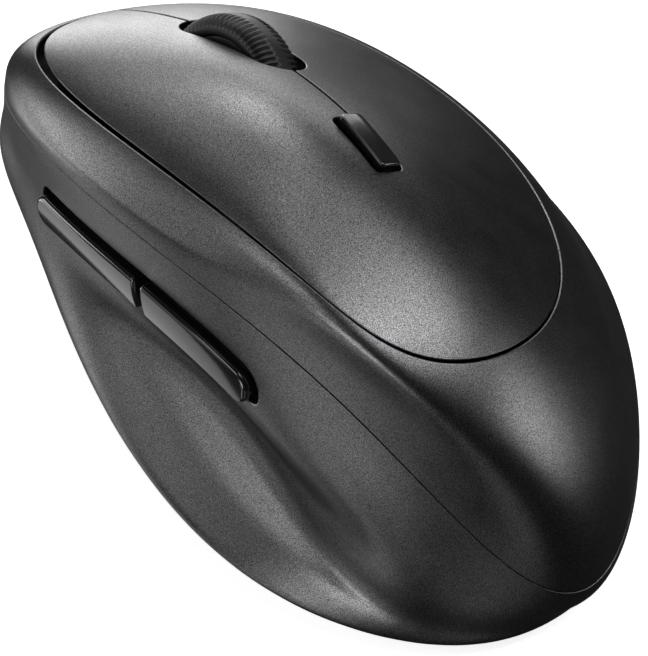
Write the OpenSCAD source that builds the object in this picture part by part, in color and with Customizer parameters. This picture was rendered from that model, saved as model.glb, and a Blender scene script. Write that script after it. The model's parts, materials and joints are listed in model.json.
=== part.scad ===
// Upright ergonomic mouse: a two-part shell with a thumb wing, a leaning top panel with two main
// buttons, a ribbed wheel, a centre button, two thumb buttons, and the works inside.
// Millimetres. +Y is the front, +X the right-hand side, +Z up; the origin lies on the table
// under the middle of the body.

/* [Body] */
// Length of the body from nose to heel
body_l = 110; // [106:1:122]
// Width of the body from the wing to the right flank
body_w = 71; // [69:1:80]
// Height of the body above the table
body_h = 55; // [53:1:62]
// Thickness of the shells and of the top panel
wall = 2; // [1.6:0.1:2.4]
// Seam between the lower and the upper shell
seam_gap = 0.15; // [0.1:0.05:0.3]
// Gap between the top panel and the upper shell
panel_gap = 0.4; // [0.35:0.05:0.6]
// Extra gap at the front left corner of the top panel
corner_gap = 1.2; // [0.8:0.1:1.6]

/* [Main buttons] */
// Slit between the left and the right button
split_gap = 0.5; // [0.45:0.05:0.7]
// Slit along the flexing root of the main buttons
flex_gap = 0.3; // [0.25:0.05:0.4]
// Distance from the wheel's middle back to the flexing root
flex_back = 36; // [35:0.5:40]
// Diameter of the post under each main button
post_d = 3; // [2.4:0.1:3.6]

/* [Wheel] */
// Diameter over the tyre
wheel_d = 24; // [22:0.5:25]
// Width of the tyre
wheel_w = 6.6; // [6:0.1:7.2]
// How far the wheel stands out of the panel
wheel_rise = 3.1; // [2.6:0.1:3.8]
// Room between the wheel and its slot
wheel_room = 0.9; // [0.8:0.1:1.2]
// Thickness of the rubber tyre
tyre_t = 2.8; // [2:0.1:3.4]
// Number of grip grooves on each shoulder of the tyre
groove_count = 48; // [36:1:60]
// Diameter of the axle
axle_d = 2.4; // [2:0.1:3]
// Running clearance of axle and pivot pins, on the radius
running = 0.05; // [0.02:0.01:0.1]
// Diameter of the cradle's pivot pins
pivot_d = 2; // [1.6:0.1:2.4]

/* [Centre button] */
// Length of the centre button
dpi_l = 9.6; // [8:0.1:11]
// Width of the centre button
dpi_w = 4; // [3.6:0.1:4.6]
// How far the centre button stands out of the panel
dpi_rise = 1; // [0.6:0.1:1.4]
// Gap around the centre button
dpi_gap = 0.6; // [0.5:0.05:0.8]

/* [Thumb buttons] */
// Height of the thumb buttons
side_h = 5.2; // [4.6:0.1:5.8]
// Gap around the thumb buttons in their slot
side_gap = 1; // [0.8:0.05:1.2]
// How far the thumb buttons stand out of the wall
side_rise = 1.5; // [1:0.1:2]

/* [Underside] */
// Thickness of the glide feet
foot_t = 0.8; // [0.6:0.1:1.2]
// Thickness of the base plate
base_t = 2.4; // [2.2:0.1:3]
// Gap between the base plate and the lower shell
base_gap = 0.3; // [0.2:0.05:0.4]
// Thickness of the battery door
door_t = 1.3; // [1.2:0.1:1.5]
// Travel of the battery door
door_travel = 5; // [4:0.5:6]
// Clearance of sliding pieces
slide_gap = 0.2; // [0.15:0.05:0.3]
// Travel of the power switch
power_travel = 3; // [2:0.5:3.5]

/* [Works] */
// Diameter of the battery cell
cell_d = 10.5; // [10:0.1:10.8]
// Length of the battery cell
cell_l = 44.5; // [43:0.5:45]
// Thickness of the circuit boards
board_t = 1.6; // [1.2:0.1:1.8]
// Shaft diameter of the case screws
screw_d = 2.5; // [2:0.1:3]
// Shaft diameter of the board screws
board_screw_d = 2; // [1.6:0.1:2.2]

/* [Hidden] */

// Colours of the finishes
gunmetal = [0.26, 0.26, 0.27];
gloss_black = [0.04, 0.04, 0.045];
rubber_black = [0.08, 0.08, 0.08];
dark_plastic = [0.12, 0.12, 0.13];
board_green = [0.08, 0.3, 0.16];
metal = [0.75, 0.75, 0.77];

// Body rings from the sole to the edge of the top panel. Each ring has eight compass points:
// right, front right, front, front left, left, rear left, rear, rear right. They are drawn for a
// body 110 long, 71 wide and 55 tall that stands on feet 0.8 thick, with its middle a little off zero.
drawn_size = [71, 110, 55];
drawn_foot = 0.8;
drawn_middle = [0.74, 0.04];
sole_ring = [[27, 0, 0.8], [16, 33.5, 0.8], [-4, 46.5, 0.8], [-22, 32, 0.8],
    [-31.5, -5.5, 0.8], [-24, -36.5, 0.8], [-5, -48.5, 0.8], [18, -34.5, 0.8]];
skirt_ring = [[32.5, 0, 4], [20.5, 37.5, 6], [-4, 52.5, 10], [-23.5, 37, 7],
    [-35.5, -6, 5], [-28, -39, 3], [-6, -53, 2.3], [21.5, -37, 3.2]];
waist_ring = [[35, 0, 6.5], [22.5, 38.5, 9], [-4, 54.5, 14], [-24, 40.5, 17],
    [-24, -3.5, 15], [-25, -37, 8.5], [-5.5, -53.8, 3.8], [22.8, -37.2, 4.6]];
wall_ring = [[36, 0, 9], [22.5, 39, 12], [-4, 55, 18], [-23.5, 40, 25.5],
    [-27.5, -3, 27], [-25, -37, 18], [-5, -54.3, 5.2], [23, -37.2, 6.2]];
seam_ring = [[36, 0, 11.5], [23, 38.5, 15], [-4, 54.5, 21.5], [-23.5, 40, 35],
    [-26.5, -0.5, 44.5], [-18.5, -36.5, 31], [-4, -55, 8.2], [23, -37, 8.4]];
shoulder_ring = [[32, 0, 19.5], [22.5, 37, 22.5], [-5, 53, 25.5], [-24.3, 35.5, 39],
    [-24.5, -6, 48.5], [-17, -35.5, 41.5], [-2.5, -51.5, 25], [20.5, -34.5, 19.5]];
panel_ring = [[27.5, 0, 29], [19, 32, 30.5], [-3, 46.5, 35.5], [-19.5, 39, 42],
    [-21.5, -2.5, 52.5], [-17, -30, 48.5], [-2.5, -36.5, 42], [18, -26, 31]];
crown_point = [-3, 4, 54];
crown_bulge = 3;

// Places along the loft: 0 sole, 1 skirt, 2 waist, 3 wall, 4 seam, 5 shoulder, 6 panel edge, 8 crown
at_seam = 4;
at_panel = 6;
at_inner = 7;
at_crown = 8;
around = 72;
// Slant of the edges that let the main buttons dip past the rim
rim_bevel = 2.2;
// Lip of the upper shell under the edge of the panel
lip_reach = 2.4;
lip_drop = 1.7;
lip_t = 1;
// Clearance of pieces that are fixed together
snug = 0.03;

// Arithmetic of directions
function unit(v) = v / norm(v);
function turned(r, p) = let (
    a = [p.x, p.y * cos(r.x) - p.z * sin(r.x), p.y * sin(r.x) + p.z * cos(r.x)],
    b = [a.x * cos(r.y) + a.z * sin(r.y), a.y, a.z * cos(r.y) - a.x * sin(r.y)])
    [b.x * cos(r.z) - b.y * sin(r.z), b.x * sin(r.z) + b.y * cos(r.z), b.z];

// Body rings at the size that is set
stretch = [body_w / drawn_size.x, body_l / drawn_size.y, (body_h - foot_t) / (drawn_size.z - drawn_foot)];
function placed(p) = [(p.x - drawn_middle.x) * stretch.x, (p.y - drawn_middle.y) * stretch.y,
    foot_t + (p.z - drawn_foot) * stretch.z];
RINGS = [for (ring = [sole_ring, skirt_ring, waist_ring, wall_ring, seam_ring, shoulder_ring, panel_ring])
    [for (p = ring) placed(p)]];
crown = placed(crown_point);

// The inner ring of the panel is a plain ellipse half way to the crown
compass = [for (i = [0:7]) 45 * i];
panel_mean = [for (i = [0:7]) 1 / 8] * RINGS[6];
panel_cos = [for (a = compass) cos(a) / 4] * RINGS[6];
panel_sin = [for (a = compass) sin(a) / 4] * RINGS[6];
crown_normal = unit(cross(panel_cos, panel_sin));
half_way = crown / 2 + panel_mean / 2 + crown_bulge * crown_normal;
crown_control = (6 * crown - 2 * half_way) / 4;

// Smooth curve round a ring, and smooth curve up a column of rings
function share(t) = (1 + 2 * cos(t) + 2 * cos(2 * t) + 2 * cos(3 * t) + cos(4 * t)) / 8;
function shares(a) = [for (c = compass) share(a - c)];
function column(a) = let (
    s = shares(a),
    reach = (cos(a) * panel_cos + sin(a) * panel_sin) / 2,
    on = concat([for (ring = RINGS) s * ring], [half_way + reach]),
    c = [for (k = [0:7]) k == 0 || k == 7 ? on[k] : on[k] - (on[k - 1] - 2 * on[k] + on[k + 1]) / 6])
    concat([2 * c[0] - c[1]], c, [crown_control, half_way - reach]);
function ease(t) = [pow(1 - t, 3), 3 * pow(t, 3) - 6 * t * t + 4, -3 * pow(t, 3) + 3 * t * t + 3 * t + 1, pow(t, 3)] / 6;
function ease_rate(t) = [-pow(1 - t, 2), 3 * t * t - 4 * t, -3 * t * t + 2 * t + 1, t * t] / 2;
function blended(col, b, k) = b[0] * col[k] + b[1] * col[k + 1] + b[2] * col[k + 2] + b[3] * col[k + 3];
function step_of(w) = min(floor(w), 7);
function point_in(col, w) = blended(col, ease(w - step_of(w)), step_of(w));
function rate_in(col, w) = blended(col, ease_rate(w - step_of(w)), step_of(w));
function normal_in(col, turn, w) = unit(cross(point_in(turn, w), rate_in(col, w)));
function turn_at(a) = column(a + 1) - column(a - 1);

// Point of the body, outward normal, and point at a depth under the surface
function spot(a, w) = point_in(column(a), w);
function normal_at(a, w) = normal_in(column(a), turn_at(a), w);
function under(a, w, depth) = spot(a, w) - depth * normal_at(a, w);
function rate_at(a, w) = norm(rate_in(column(a), w));

ANGLES = [for (i = [0:around - 1]) 360 * i / around];
COLUMNS = [for (a = ANGLES) column(a)];
TURNS = [for (a = ANGLES) turn_at(a)];
function loop(w, depth) = [for (i = [0:around - 1])
    point_in(COLUMNS[i], w) - depth * normal_in(COLUMNS[i], TURNS[i], w)];
function loop_on(ws, depth) = [for (i = [0:around - 1])
    point_in(COLUMNS[i], ws[i]) - depth * normal_in(COLUMNS[i], TURNS[i], ws[i])];

// Edges of shells and panel, set in along the surface by a gap
corner_angle = 122;
corner_sharp = 12;
function near_corner(a) = pow(max(0, cos(a - corner_angle)), corner_sharp);
function set_in(i, w, gap) = w + gap / norm(rate_in(COLUMNS[i], w));
panel_rim = [for (i = [0:around - 1]) set_in(i, at_panel, panel_gap + corner_gap * near_corner(ANGLES[i]))];
panel_foot = [for (i = [0:around - 1]) set_in(i, panel_rim[i], rim_bevel)];
shell_foot = [for (i = [0:around - 1]) set_in(i, at_panel, -rim_bevel)];
shell_root = [for (i = [0:around - 1]) set_in(i, at_panel, -2 * rim_bevel)];
lip_edge = [for (i = [0:around - 1]) set_in(i, at_panel, lip_reach)];
seam_over = [for (i = [0:around - 1]) set_in(i, at_seam, seam_gap / 2)];
seam_under = [for (i = [0:around - 1]) set_in(i, at_seam, -seam_gap / 2)];

// Solids between loops
function tri_pair(a, b, c, d) = [[a, b, c], [a, c, d]];
function band_faces(n, j, k) = [for (i = [0:n - 1]) let (h = (i + 1) % n)
    each tri_pair(j * n + i, k * n + i, k * n + h, j * n + h)];
// Ring-shaped solid: the last loop joins the first
module ring_skin(loops) {
    n = len(loops[0]);
    m = len(loops);
    polyhedron(points = [for (l = loops) each l],
        faces = [for (j = [0:m - 1]) each band_faces(n, j, (j + 1) % m)]);
}
// Cap-shaped solid: both ends close in a point
module cap_skin(loops, first, last) {
    n = len(loops[0]);
    m = len(loops);
    polyhedron(points = concat([for (l = loops) each l], [first, last]),
        faces = concat([for (j = [0:m - 2]) each band_faces(n, j, j + 1)],
            [for (i = [0:n - 1]) [m * n, i, (i + 1) % n]],
            [for (i = [0:n - 1]) [m * n + 1, (m - 1) * n + (i + 1) % n, (m - 1) * n + i]]));
}
// Bar-shaped solid: flat ends
module bar_skin(loops) {
    n = len(loops[0]);
    m = len(loops);
    polyhedron(points = [for (l = loops) each l],
        faces = concat([for (j = [0:m - 2]) each band_faces(n, j, j + 1)],
            [for (i = [1:n - 2]) [0, i, i + 1]],
            [for (i = [1:n - 2]) [(m - 1) * n, (m - 1) * n + i + 1, (m - 1) * n + i]]));
}
// Everything inside the body, deeper than a given depth
module body_core(depth) {
    rows = [0, 0.5, 1, 1.5, 2, 2.5, 3, 3.5, 4, 4.5, 5, 5.5, 6, 6.5, 7, 7.5];
    sole_middle = spot(0, 0) / 2 + spot(180, 0) / 2;
    cap_skin([for (w = rows) loop(w, depth)], [sole_middle.x, sole_middle.y, foot_t],
        crown - depth * crown_normal);
}

// Top frame: origin in the wheel's middle, x along the axle, z out of the panel
wheel_angle = 70;
wheel_up = 7.1;
top_turn = [-19.5, 30, -6];
wheel_r = wheel_d / 2;
top_normal = turned(top_turn, [0, 0, 1]);
wheel_middle = spot(wheel_angle, wheel_up) - (wheel_r - wheel_rise) * top_normal;
function in_top(p) = wheel_middle + turned(top_turn, p);
top_axes = [for (e = [[1, 0, 0], [0, 1, 0], [0, 0, 1]]) turned(top_turn, e)];
function to_top(p) = top_axes * (p - wheel_middle);
module top_frame() { translate(wheel_middle) rotate(top_turn) children(); }

// Press frame: x across the main buttons, along their flexing root
press_turn = [0, 19, -2];
split_spot = spot(14, 7.58);
module press_frame() { translate(split_spot) rotate(press_turn) children(); }
function to_press_y(p) = turned([0, 0, -press_turn.z], p - split_spot).y;
flex_y = to_press_y(wheel_middle) - flex_back;
far_off = 100;

// Battery bay on the base plate
base_top = foot_t + base_t;
cell_x = 9.3 * stretch.x;
cell_y = -1.75 * stretch.y;
cell_room = 0.5;
cell_z = base_top + cell_room + cell_d / 2;
contact_t = 0.4;
spring_l = 2.2;
spring_d = [6, 4];
contact_gap = 0.2;
tray_t = 1.2;
tray_y = [cell_y - cell_l / 2 - spring_l - contact_t - tray_t, cell_y + cell_l / 2 + contact_gap + contact_t + tray_t];
receiver_size = [12, 18.4, 4.6];
receiver_cap = 6.4;
receiver_x = cell_x - cell_d / 2 - cell_room - tray_t - receiver_size.x / 2 - cell_room;
receiver_y = tray_y[0] + tray_t + cell_room + receiver_size.y / 2;
tray_x = [receiver_x - receiver_size.x / 2 - cell_room - tray_t, cell_x + cell_d / 2 + cell_room + tray_t];
tray_top = cell_z + cell_d / 2 + cell_room;

// Works under the panel, heights in the top frame
cradle_room = wheel_w / 2 + 1.2;
cradle_t = 1.8;
cradle_half = 1.7;
cradle_low = 2.4;
cradle_rear = 17;
cradle_bar = 3.4;
cradle_bar_low = -0.4;
middle_gap = 0.8;
pivot_y = 13.5;
pivot_z = -1.2;
pivot_reach = 2.4;
ear_gap = 0.4;
ear_t = 2;
ear_half = 1.9;
switch_size = [5.8, 12.8, 6.5];
left_switch_x = -9.7;
right_switch_x = 13.4;
switch_y = 3.6;
pin_size = [1.4, 2.8, 3];
pin_rise = 0.7;
pin_travel = 0.6;
board_top = -6.2;
board_under = board_top - board_t;
frame_t = 2.2;
frame_under = board_under - frame_t;
works_left = 14.5;
works_front = 16.6;
works_rear = 14;
works_right = 19.5;
tail_half = 7;
tail_rear = 31;
slot_half = wheel_w / 2 + wheel_room;
slot_long = wheel_r + 1;
slot_end = wheel_r - 1.2;
slot_under = 1.4;
slot_step = 0.2;
shoulder = 1.3;
groove_deep = 0.3;
tact_size = [6, 6, 3];
tact_stem_d = 3.2;
tact_stem = 0.6;
encoder_size = [3.2, 11, 7.6];
encoder_low = 3;
post_gap = 0.3;
column_d = 5;
column_gap = 0.9;
rear_column_y = -12;
rear_column_x = (tray_x[1] + column_gap + column_d / 2 - in_top([0, rear_column_y, frame_under]).x) / top_axes[0].x;
column_spots = [[-9, 12], [17, 12], [rear_column_x, rear_column_y]];
COLUMN_TOPS = [for (s = column_spots) in_top([s.x, s.y, frame_under])];
column_sink = 1;

// Centre button, in its own frame on the panel
dpi_angle = 301;
dpi_up = 7.5;
dpi_turn = [6, 33, -2];
dpi_spot = spot(dpi_angle, dpi_up);
module dpi_frame() { translate(dpi_spot) rotate(dpi_turn) children(); }
dpi_travel = 0.4;
dpi_corner = 0.7;
dpi_deep = 3.2;
dpi_flange = 0.9;
dpi_lip = 0.8;

// Thumb buttons follow the wall along a gently arched line
side_front = 146;
side_back = 195;
side_break = 171.5;
side_break_gap = 1.2;
side_arch_top = 3.34;
side_arch_angle = 192;
side_arch = 0.00022;
side_travel = 0.5;
stem_size = [4, 2.6];
function side_w(a) = side_arch_top - side_arch * pow(a - side_arch_angle, 2);
// Half height of a strip with round ends, at an angle between its ends
function round_end(a, a0, a1, half) = let (
    reach = norm(spot(a, side_w(a)) - spot(a0, side_w(a0))),
    left = norm(spot(a1, side_w(a1)) - spot(a, side_w(a))),
    d = max(0.35 * half, min(reach, left)))
    d >= half ? half : sqrt(max(0, half * half - pow(half - d, 2)));
function strip_loop(a, half, low, high) = let (
    w = side_w(a),
    up = half / rate_at(a, w),
    n = normal_at(a, w),
    top = spot(a, w + up),
    bottom = spot(a, w - up))
    [bottom - low * n, top - low * n, top + high * n, bottom + high * n];
module strip(a0, a1, half, low, high, steps = 20) {
    bar_skin([for (i = [0:steps]) let (a = a0 + (a1 - a0) * i / steps)
        strip_loop(a, round_end(a, a0, a1, half), low, high)]);
}
side_slot_half = side_h / 2 + side_gap;
forward_angle = (side_front + side_break) / 2;
back_angle = (side_break + side_back) / 2;
side_degrees_per_mm = 1 / norm(spot(side_break + 0.5, side_arch_top) - spot(side_break - 0.5, side_arch_top));
break_half = side_break_gap / 2 * side_degrees_per_mm;
end_gap = side_gap * side_degrees_per_mm;
forward_spot = spot(forward_angle, side_w(forward_angle));
back_spot = spot(back_angle, side_w(back_angle));
side_frame_gap = 0.15;
side_frame_room = 0.5;
side_frame_deep = wall + side_travel + side_frame_room;
side_frame_t = 1;
side_frame_rim = 1.4;
side_board_t = 1.2;
side_board_gap = 1.6;
side_board_x = max(forward_spot.x, back_spot.x) + side_frame_deep + side_frame_t + side_board_gap;
side_tact = [4.5, 4.5, 2];
side_tact_d = 2.4;
side_tact_stem = 0.5;
side_post_d = 3;
switch_room = 0.4;
press_gap = 0.2;

// Door, sensor, screws and feet
door_in = [0.4, 0.8];
door_x = [tray_x[0] + door_in.x, tray_x[1] - door_in.x];
door_y = [tray_y[0] + door_in.y, tray_y[1] - door_in.y];
grip_count = 4;
grip_size = [10, 0.7, 0.4];
grip_pitch = 1.6;
grip_end = 4;
door_rail = 1;
door_rail_t = 0.6;
sensor_y = 32.5 * stretch.y;
lens_size = [5.6, 5.2];
lens_sink = 0.2;
lens_flange = 0.6;
lens_d = 4;
board_x = [-11.6 * stretch.x, COLUMN_TOPS[1].x - column_d / 2 - 2 * slide_gap];
sensor_x = (board_x[0] + board_x[1]) / 2;
board_y = [26.8, 40] * stretch.y;
standoff_h = 4;
main_board_z = base_top + standoff_h;
chip_size = [6.2, 6.2, 1.8];
power_x = sensor_x;
power_front = 5.4;
power_y = sensor_y + power_front;
power_body = [6.4, 2.8, 2.2];
knob_size = [3, 1.8];
knob_recess = 0.4;
standoff_d = 3.6;
standoff_in = 1.8;
STANDOFFS = [[board_x[0] + standoff_in, board_y[0] + standoff_in], [board_x[1] - standoff_in, board_y[0] + standoff_in],
    [board_x[0] + standoff_in, board_y[1] - standoff_in]];
case_head_d = 4.6;
case_head_t = 1.4;
screw_room = 0.2;
head_sink = 0.1;
case_screw_l = 12;
board_head_d = 3.4;
board_head_t = 1.2;
board_screw_l = 3.4;
foot_r = 2;
front_foot_l = 8;
FRONT_FEET = [[-17.5 * stretch.x, 19 * stretch.y], [12.7 * stretch.x, 28.6 * stretch.y]];
rear_foot_l = 17;
rear_foot_spot = [-4 * stretch.x, -39.5 * stretch.y];

// Shells

module thumb_shell() {
    outer = [0, 0.3, 0.6, 0.9, 1.2, 1.6, 2, 2.4, 2.8, 3.2, 3.6];
    inner = [3.6, 3, 2.4, 2, 1.5, 1, 0.6];
    color(gunmetal) resize([0, 0, 0]) difference() {
        ring_skin(concat([for (w = outer) loop(w, 0)], [loop_on(seam_under, 0), loop_on(seam_under, wall)],
            [for (w = inner) loop(w, wall)], [[for (i = [0:around - 1]) [each sole_point(i, wall), foot_t]]]));
        strip(side_front - end_gap, side_back + end_gap, side_slot_half, 3 * wall, 3 * wall);
    }
}

module upper_shell() {
    outer = [4.35, 4.7, 5, 5.3, 5.65, at_panel];
    inner = [5.2, 4.8, 4.4];
    color(gunmetal) ring_skin(concat([loop_on(seam_over, 0)], [for (w = outer) loop(w, 0)],
        [loop_on(shell_foot, wall), loop_on(lip_edge, wall + lip_drop), loop_on(lip_edge, wall + lip_drop + lip_t)],
        [loop_on(shell_root, wall)], [for (w = inner) loop(w, wall)], [loop_on(seam_over, wall)]));
}

module top_panel() {
    rows = [6.6, 6.85, 7.1, 7.35, 7.6, 7.8];
    cap_skin(concat([for (i = [len(rows) - 1:-1:0]) loop(rows[i], wall)], [loop_on(panel_foot, wall)],
        [loop_on(panel_rim, 0)], [for (w = rows) loop(w, 0)]), crown - wall * crown_normal, crown);
}

// Slot with round ends, hollowed underneath so that the buttons dip clear of the wheel
module wheel_slot() {
    top_frame() {
        translate([0, 0, wheel_r - wheel_rise]) linear_extrude(4 * wall + wheel_rise, center = true)
            hull() for (side = [-1, 1])
                translate([0, side * (slot_end - slot_half)]) circle(slot_half, $fn = 32);
        rotate([0, 90, 0])
            cylinder(r = wheel_r + slot_under, h = 2 * (slot_half - slot_step), center = true, $fn = 64);
    }
}

module dpi_hole() {
    dpi_frame() linear_extrude(6 * wall, center = true) dpi_outline(dpi_gap);
}

module dpi_outline(grow) {
    size = [dpi_w / 2 - dpi_corner, dpi_l / 2 - dpi_corner];
    hull() for (x = [-1, 1], y = [-1, 1])
        translate([x * size.x, y * size.y]) circle(dpi_corner + grow, $fn = 24);
}

// Side -1 keeps the part of the panel left of the slit, +1 the part right of it
module button_piece(side) {
    spot_x = side < 0 ? left_switch_x : right_switch_x;
    resize([0, 0, 0]) union() {
        difference() {
            intersection() {
                top_panel();
                press_frame() translate([side > 0 ? split_gap / 2 : -far_off - split_gap / 2, flex_y, -far_off])
                    cube([far_off, far_off, 2 * far_off]);
            }
            wheel_slot();
            dpi_hole();
        }
        intersection() {
            body_core(wall / 2);
            top_frame() translate([spot_x, switch_y, board_top + switch_size.z + pin_rise + post_gap])
                cylinder(d = post_d, h = wheel_r, $fn = 24);
        }
    }
}

module left_button() { color(gunmetal) button_piece(-1); }

module right_button() { color(gunmetal) button_piece(1); }

module palm_cover() {
    color(gunmetal) resize([0, 0, 0]) intersection() {
        top_panel();
        press_frame() translate([-far_off, flex_y - flex_gap - far_off, -far_off])
            cube([2 * far_off, far_off, 2 * far_off]);
    }
}

// Wheel and its cradle

module wheel_tyre() {
    half = wheel_w / 2;
    profile = [[wheel_r - shoulder, half], [wheel_r - shoulder * 0.3, half - shoulder * 0.6],
        [wheel_r, half - shoulder * 1.7]];
    lowered = [for (p = profile) [p.x - groove_deep, p.y - groove_deep / 2]];
    beyond = [[wheel_r + 1, half - shoulder * 1.7], [wheel_r + 1, half + 1], [wheel_r - shoulder - groove_deep, half + 1]];
    groove_turn = 180 / groove_count;
    color(rubber_black) top_frame() rotate([0, 90, 0]) difference() {
        rotate_extrude($fn = 96) polygon(concat([[wheel_r - tyre_t + snug, -half]],
            [for (p = profile) [p.x, -p.y]], [for (i = [2:-1:0]) profile[i]], [[wheel_r - tyre_t + snug, half]]));
        for (i = [0:groove_count - 1], side = [0, 1]) mirror([0, 0, side])
            rotate([0, 0, 2 * groove_turn * i]) rotate_extrude(angle = groove_turn, $fn = 96)
                polygon(concat(lowered, beyond));
    }
}

module wheel_hub() {
    hub_in = 0.5;
    half = wheel_w / 2 - hub_in;
    color(dark_plastic) top_frame() rotate([0, 90, 0]) difference() {
        cylinder(r = wheel_r - tyre_t, h = 2 * half, center = true, $fn = 96);
        cylinder(r = axle_d / 2 + snug, h = 4 * half, center = true, $fn = 32);
    }
}

axle_left = cradle_room + cradle_t;
axle_right = cradle_room + cradle_t + encoder_size.x;
module wheel_axle() {
    color(metal) top_frame() translate([-axle_left, 0, 0]) rotate([0, 90, 0])
        cylinder(d = axle_d, h = axle_left + axle_right, $fn = 32);
}

module wheel_cradle() {
    boss_r = axle_d / 2 + 2;
    color(dark_plastic) top_frame() difference() {
        union() {
            for (side = [-1, 1]) {
                x = side > 0 ? cradle_room : -cradle_room - cradle_t;
                translate([x, -cradle_rear, -cradle_low])
                    cube([cradle_t, cradle_rear + pivot_y + ear_half, cradle_low + cradle_half]);
                translate([x, 0, 0]) rotate([0, 90, 0]) cylinder(r = boss_r, h = cradle_t, $fn = 48);
                translate([side > 0 ? cradle_room + cradle_t : -cradle_room - cradle_t - pivot_reach, pivot_y, pivot_z])
                    rotate([0, 90, 0]) cylinder(d = pivot_d, h = pivot_reach, $fn = 32);
            }
            translate([-cradle_room - cradle_t, -cradle_rear, cradle_bar_low])
                cube([2 * (cradle_room + cradle_t), cradle_bar, cradle_half - cradle_bar_low]);
        }
        rotate([0, 90, 0]) cylinder(r = axle_d / 2 + running, h = far_off, center = true, $fn = 32);
    }
}

module wheel_encoder() {
    x = cradle_room + cradle_t;
    color(board_green) top_frame() difference() {
        translate([x, -encoder_size.y / 2, -encoder_low]) cube(encoder_size);
        rotate([0, 90, 0]) cylinder(r = axle_d / 2 + running, h = far_off, center = true, $fn = 32);
    }
}

module tact(size, stem_d, stem) {
    translate([-size.x / 2, -size.y / 2, 0]) cube(size);
    cylinder(d = stem_d, h = size.z + stem, $fn = 32);
}

module middle_switch() {
    high = cradle_bar_low - board_top - middle_gap - tact_stem;
    color(dark_plastic) top_frame() translate([0, cradle_bar / 2 - cradle_rear, board_top])
        tact([tact_size.x, tact_size.y, high], tact_stem_d, tact_stem);
}

// Centre button

dpi_axis = turned(dpi_turn, [0, 0, 1]);
dpi_under = dpi_deep + dpi_flange;
dpi_tip_r = 1.2;
dpi_tip_gap = dpi_travel + press_gap / 2;
dpi_tip_up = board_top + tact_size.z + tact_stem + dpi_tip_gap + dpi_tip_r;
dpi_stem = (to_top(dpi_spot - dpi_under * dpi_axis).z - dpi_tip_up) / (dpi_axis * top_normal);
dpi_tip = to_top(dpi_spot - (dpi_under + dpi_stem) * dpi_axis);

module dpi_button() {
    color(gloss_black) dpi_frame() {
        translate([0, 0, -dpi_deep]) linear_extrude(dpi_deep + dpi_rise) dpi_outline(0);
        translate([0, 0, -dpi_under]) linear_extrude(dpi_flange) dpi_outline(dpi_gap + dpi_lip);
        translate([0, 0, -dpi_under - dpi_stem]) {
            cylinder(r = dpi_tip_r, h = dpi_stem + dpi_flange / 2, $fn = 32);
            sphere(dpi_tip_r, $fn = 32);
        }
    }
}

module dpi_switch() {
    color(dark_plastic) top_frame() translate([dpi_tip.x, dpi_tip.y, board_top])
        tact(tact_size, tact_stem_d, tact_stem);
}

// Thumb buttons

module thumb_button(a0, a1, middle) {
    resize([0, 0, 0]) union() {
        strip(a0, a1, side_h / 2, wall, side_rise);
        translate(middle) rotate([0, 90, 0])
            linear_extrude(side_board_x - side_tact.z - side_tact_stem - side_travel - press_gap - middle.x)
                square([stem_size.y, stem_size.x], center = true);
    }
}

module forward_button() { color(gloss_black) thumb_button(side_front, side_break - break_half, forward_spot); }

module back_button() { color(gloss_black) thumb_button(side_break + break_half, side_back, back_spot); }

module side_button_frame() {
    color(dark_plastic) resize([0, 0, 0]) difference() {
        union() {
            strip(side_front - 2 * end_gap, side_back + 2 * end_gap, side_slot_half + side_frame_rim,
                side_frame_deep + side_frame_t, -wall - side_frame_gap);
            for (a = [side_break, side_back]) side_post(under(a, side_w(a), side_frame_deep + side_frame_t / 2));
        }
        strip(side_front - end_gap, side_back + end_gap, side_slot_half, side_frame_deep, 0);
        for (middle = [forward_spot, back_spot]) translate(middle)
            cube([far_off, side_tact.y + 2 * switch_room, side_tact.x + 2 * switch_room], center = true);
    }
}

module side_post(p) {
    translate(p) rotate([0, 90, 0]) cylinder(d = side_post_d, h = side_board_x - p.x, $fn = 16);
}

module side_board() {
    reach = 4;
    low = min(forward_spot.z, back_spot.z) - reach;
    high = max(forward_spot.z, back_spot.z) + reach;
    back_end = spot(side_back, side_w(side_back)).y - 2;
    color(board_green) translate([side_board_x, back_end, low])
        cube([side_board_t, forward_spot.y + reach - back_end, high - low]);
}

module side_switches() {
    color(dark_plastic) for (middle = [forward_spot, back_spot])
        translate([side_board_x, middle.y, middle.z]) rotate([0, -90, 0])
            tact(side_tact, side_tact_d, side_tact_stem);
}

// Boards and switches under the panel

module works_outline() {
    translate([-works_left, -works_rear]) square([works_left + works_right, works_rear + works_front]);
    translate([-tail_half, -tail_rear]) square([2 * tail_half, tail_rear]);
}

module works_slot() {
    square([2 * slot_half, 2 * slot_long], center = true);
}

module button_board() {
    notch = cradle_room + cradle_t + 2 * ear_gap + ear_t;
    color(board_green) top_frame() translate([0, 0, board_under]) linear_extrude(board_t) difference() {
        works_outline();
        works_slot();
        translate([-notch, pivot_y - ear_half - ear_gap]) square([2 * notch, far_off]);
    }
}

module main_switch(x) {
    room = 0.1;
    top_frame() translate([x, switch_y, board_top]) difference() {
        translate([-switch_size.x / 2, -switch_size.y / 2, 0]) cube(switch_size);
        translate([-pin_size.x / 2 - room, -pin_size.y / 2 - room, switch_size.z - pin_size.z])
            cube([pin_size.x + 2 * room, pin_size.y + 2 * room, pin_size.z + 1]);
    }
}

module left_switch() { color(dark_plastic) main_switch(left_switch_x); }

module right_switch() { color(dark_plastic) main_switch(right_switch_x); }

module switch_pin(x) {
    top_frame() translate([x - pin_size.x / 2, switch_y - pin_size.y / 2,
        board_top + switch_size.z + pin_rise - pin_size.z]) cube(pin_size);
}

module left_switch_pin() { color("white") switch_pin(left_switch_x); }

module right_switch_pin() { color("white") switch_pin(right_switch_x); }

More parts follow.
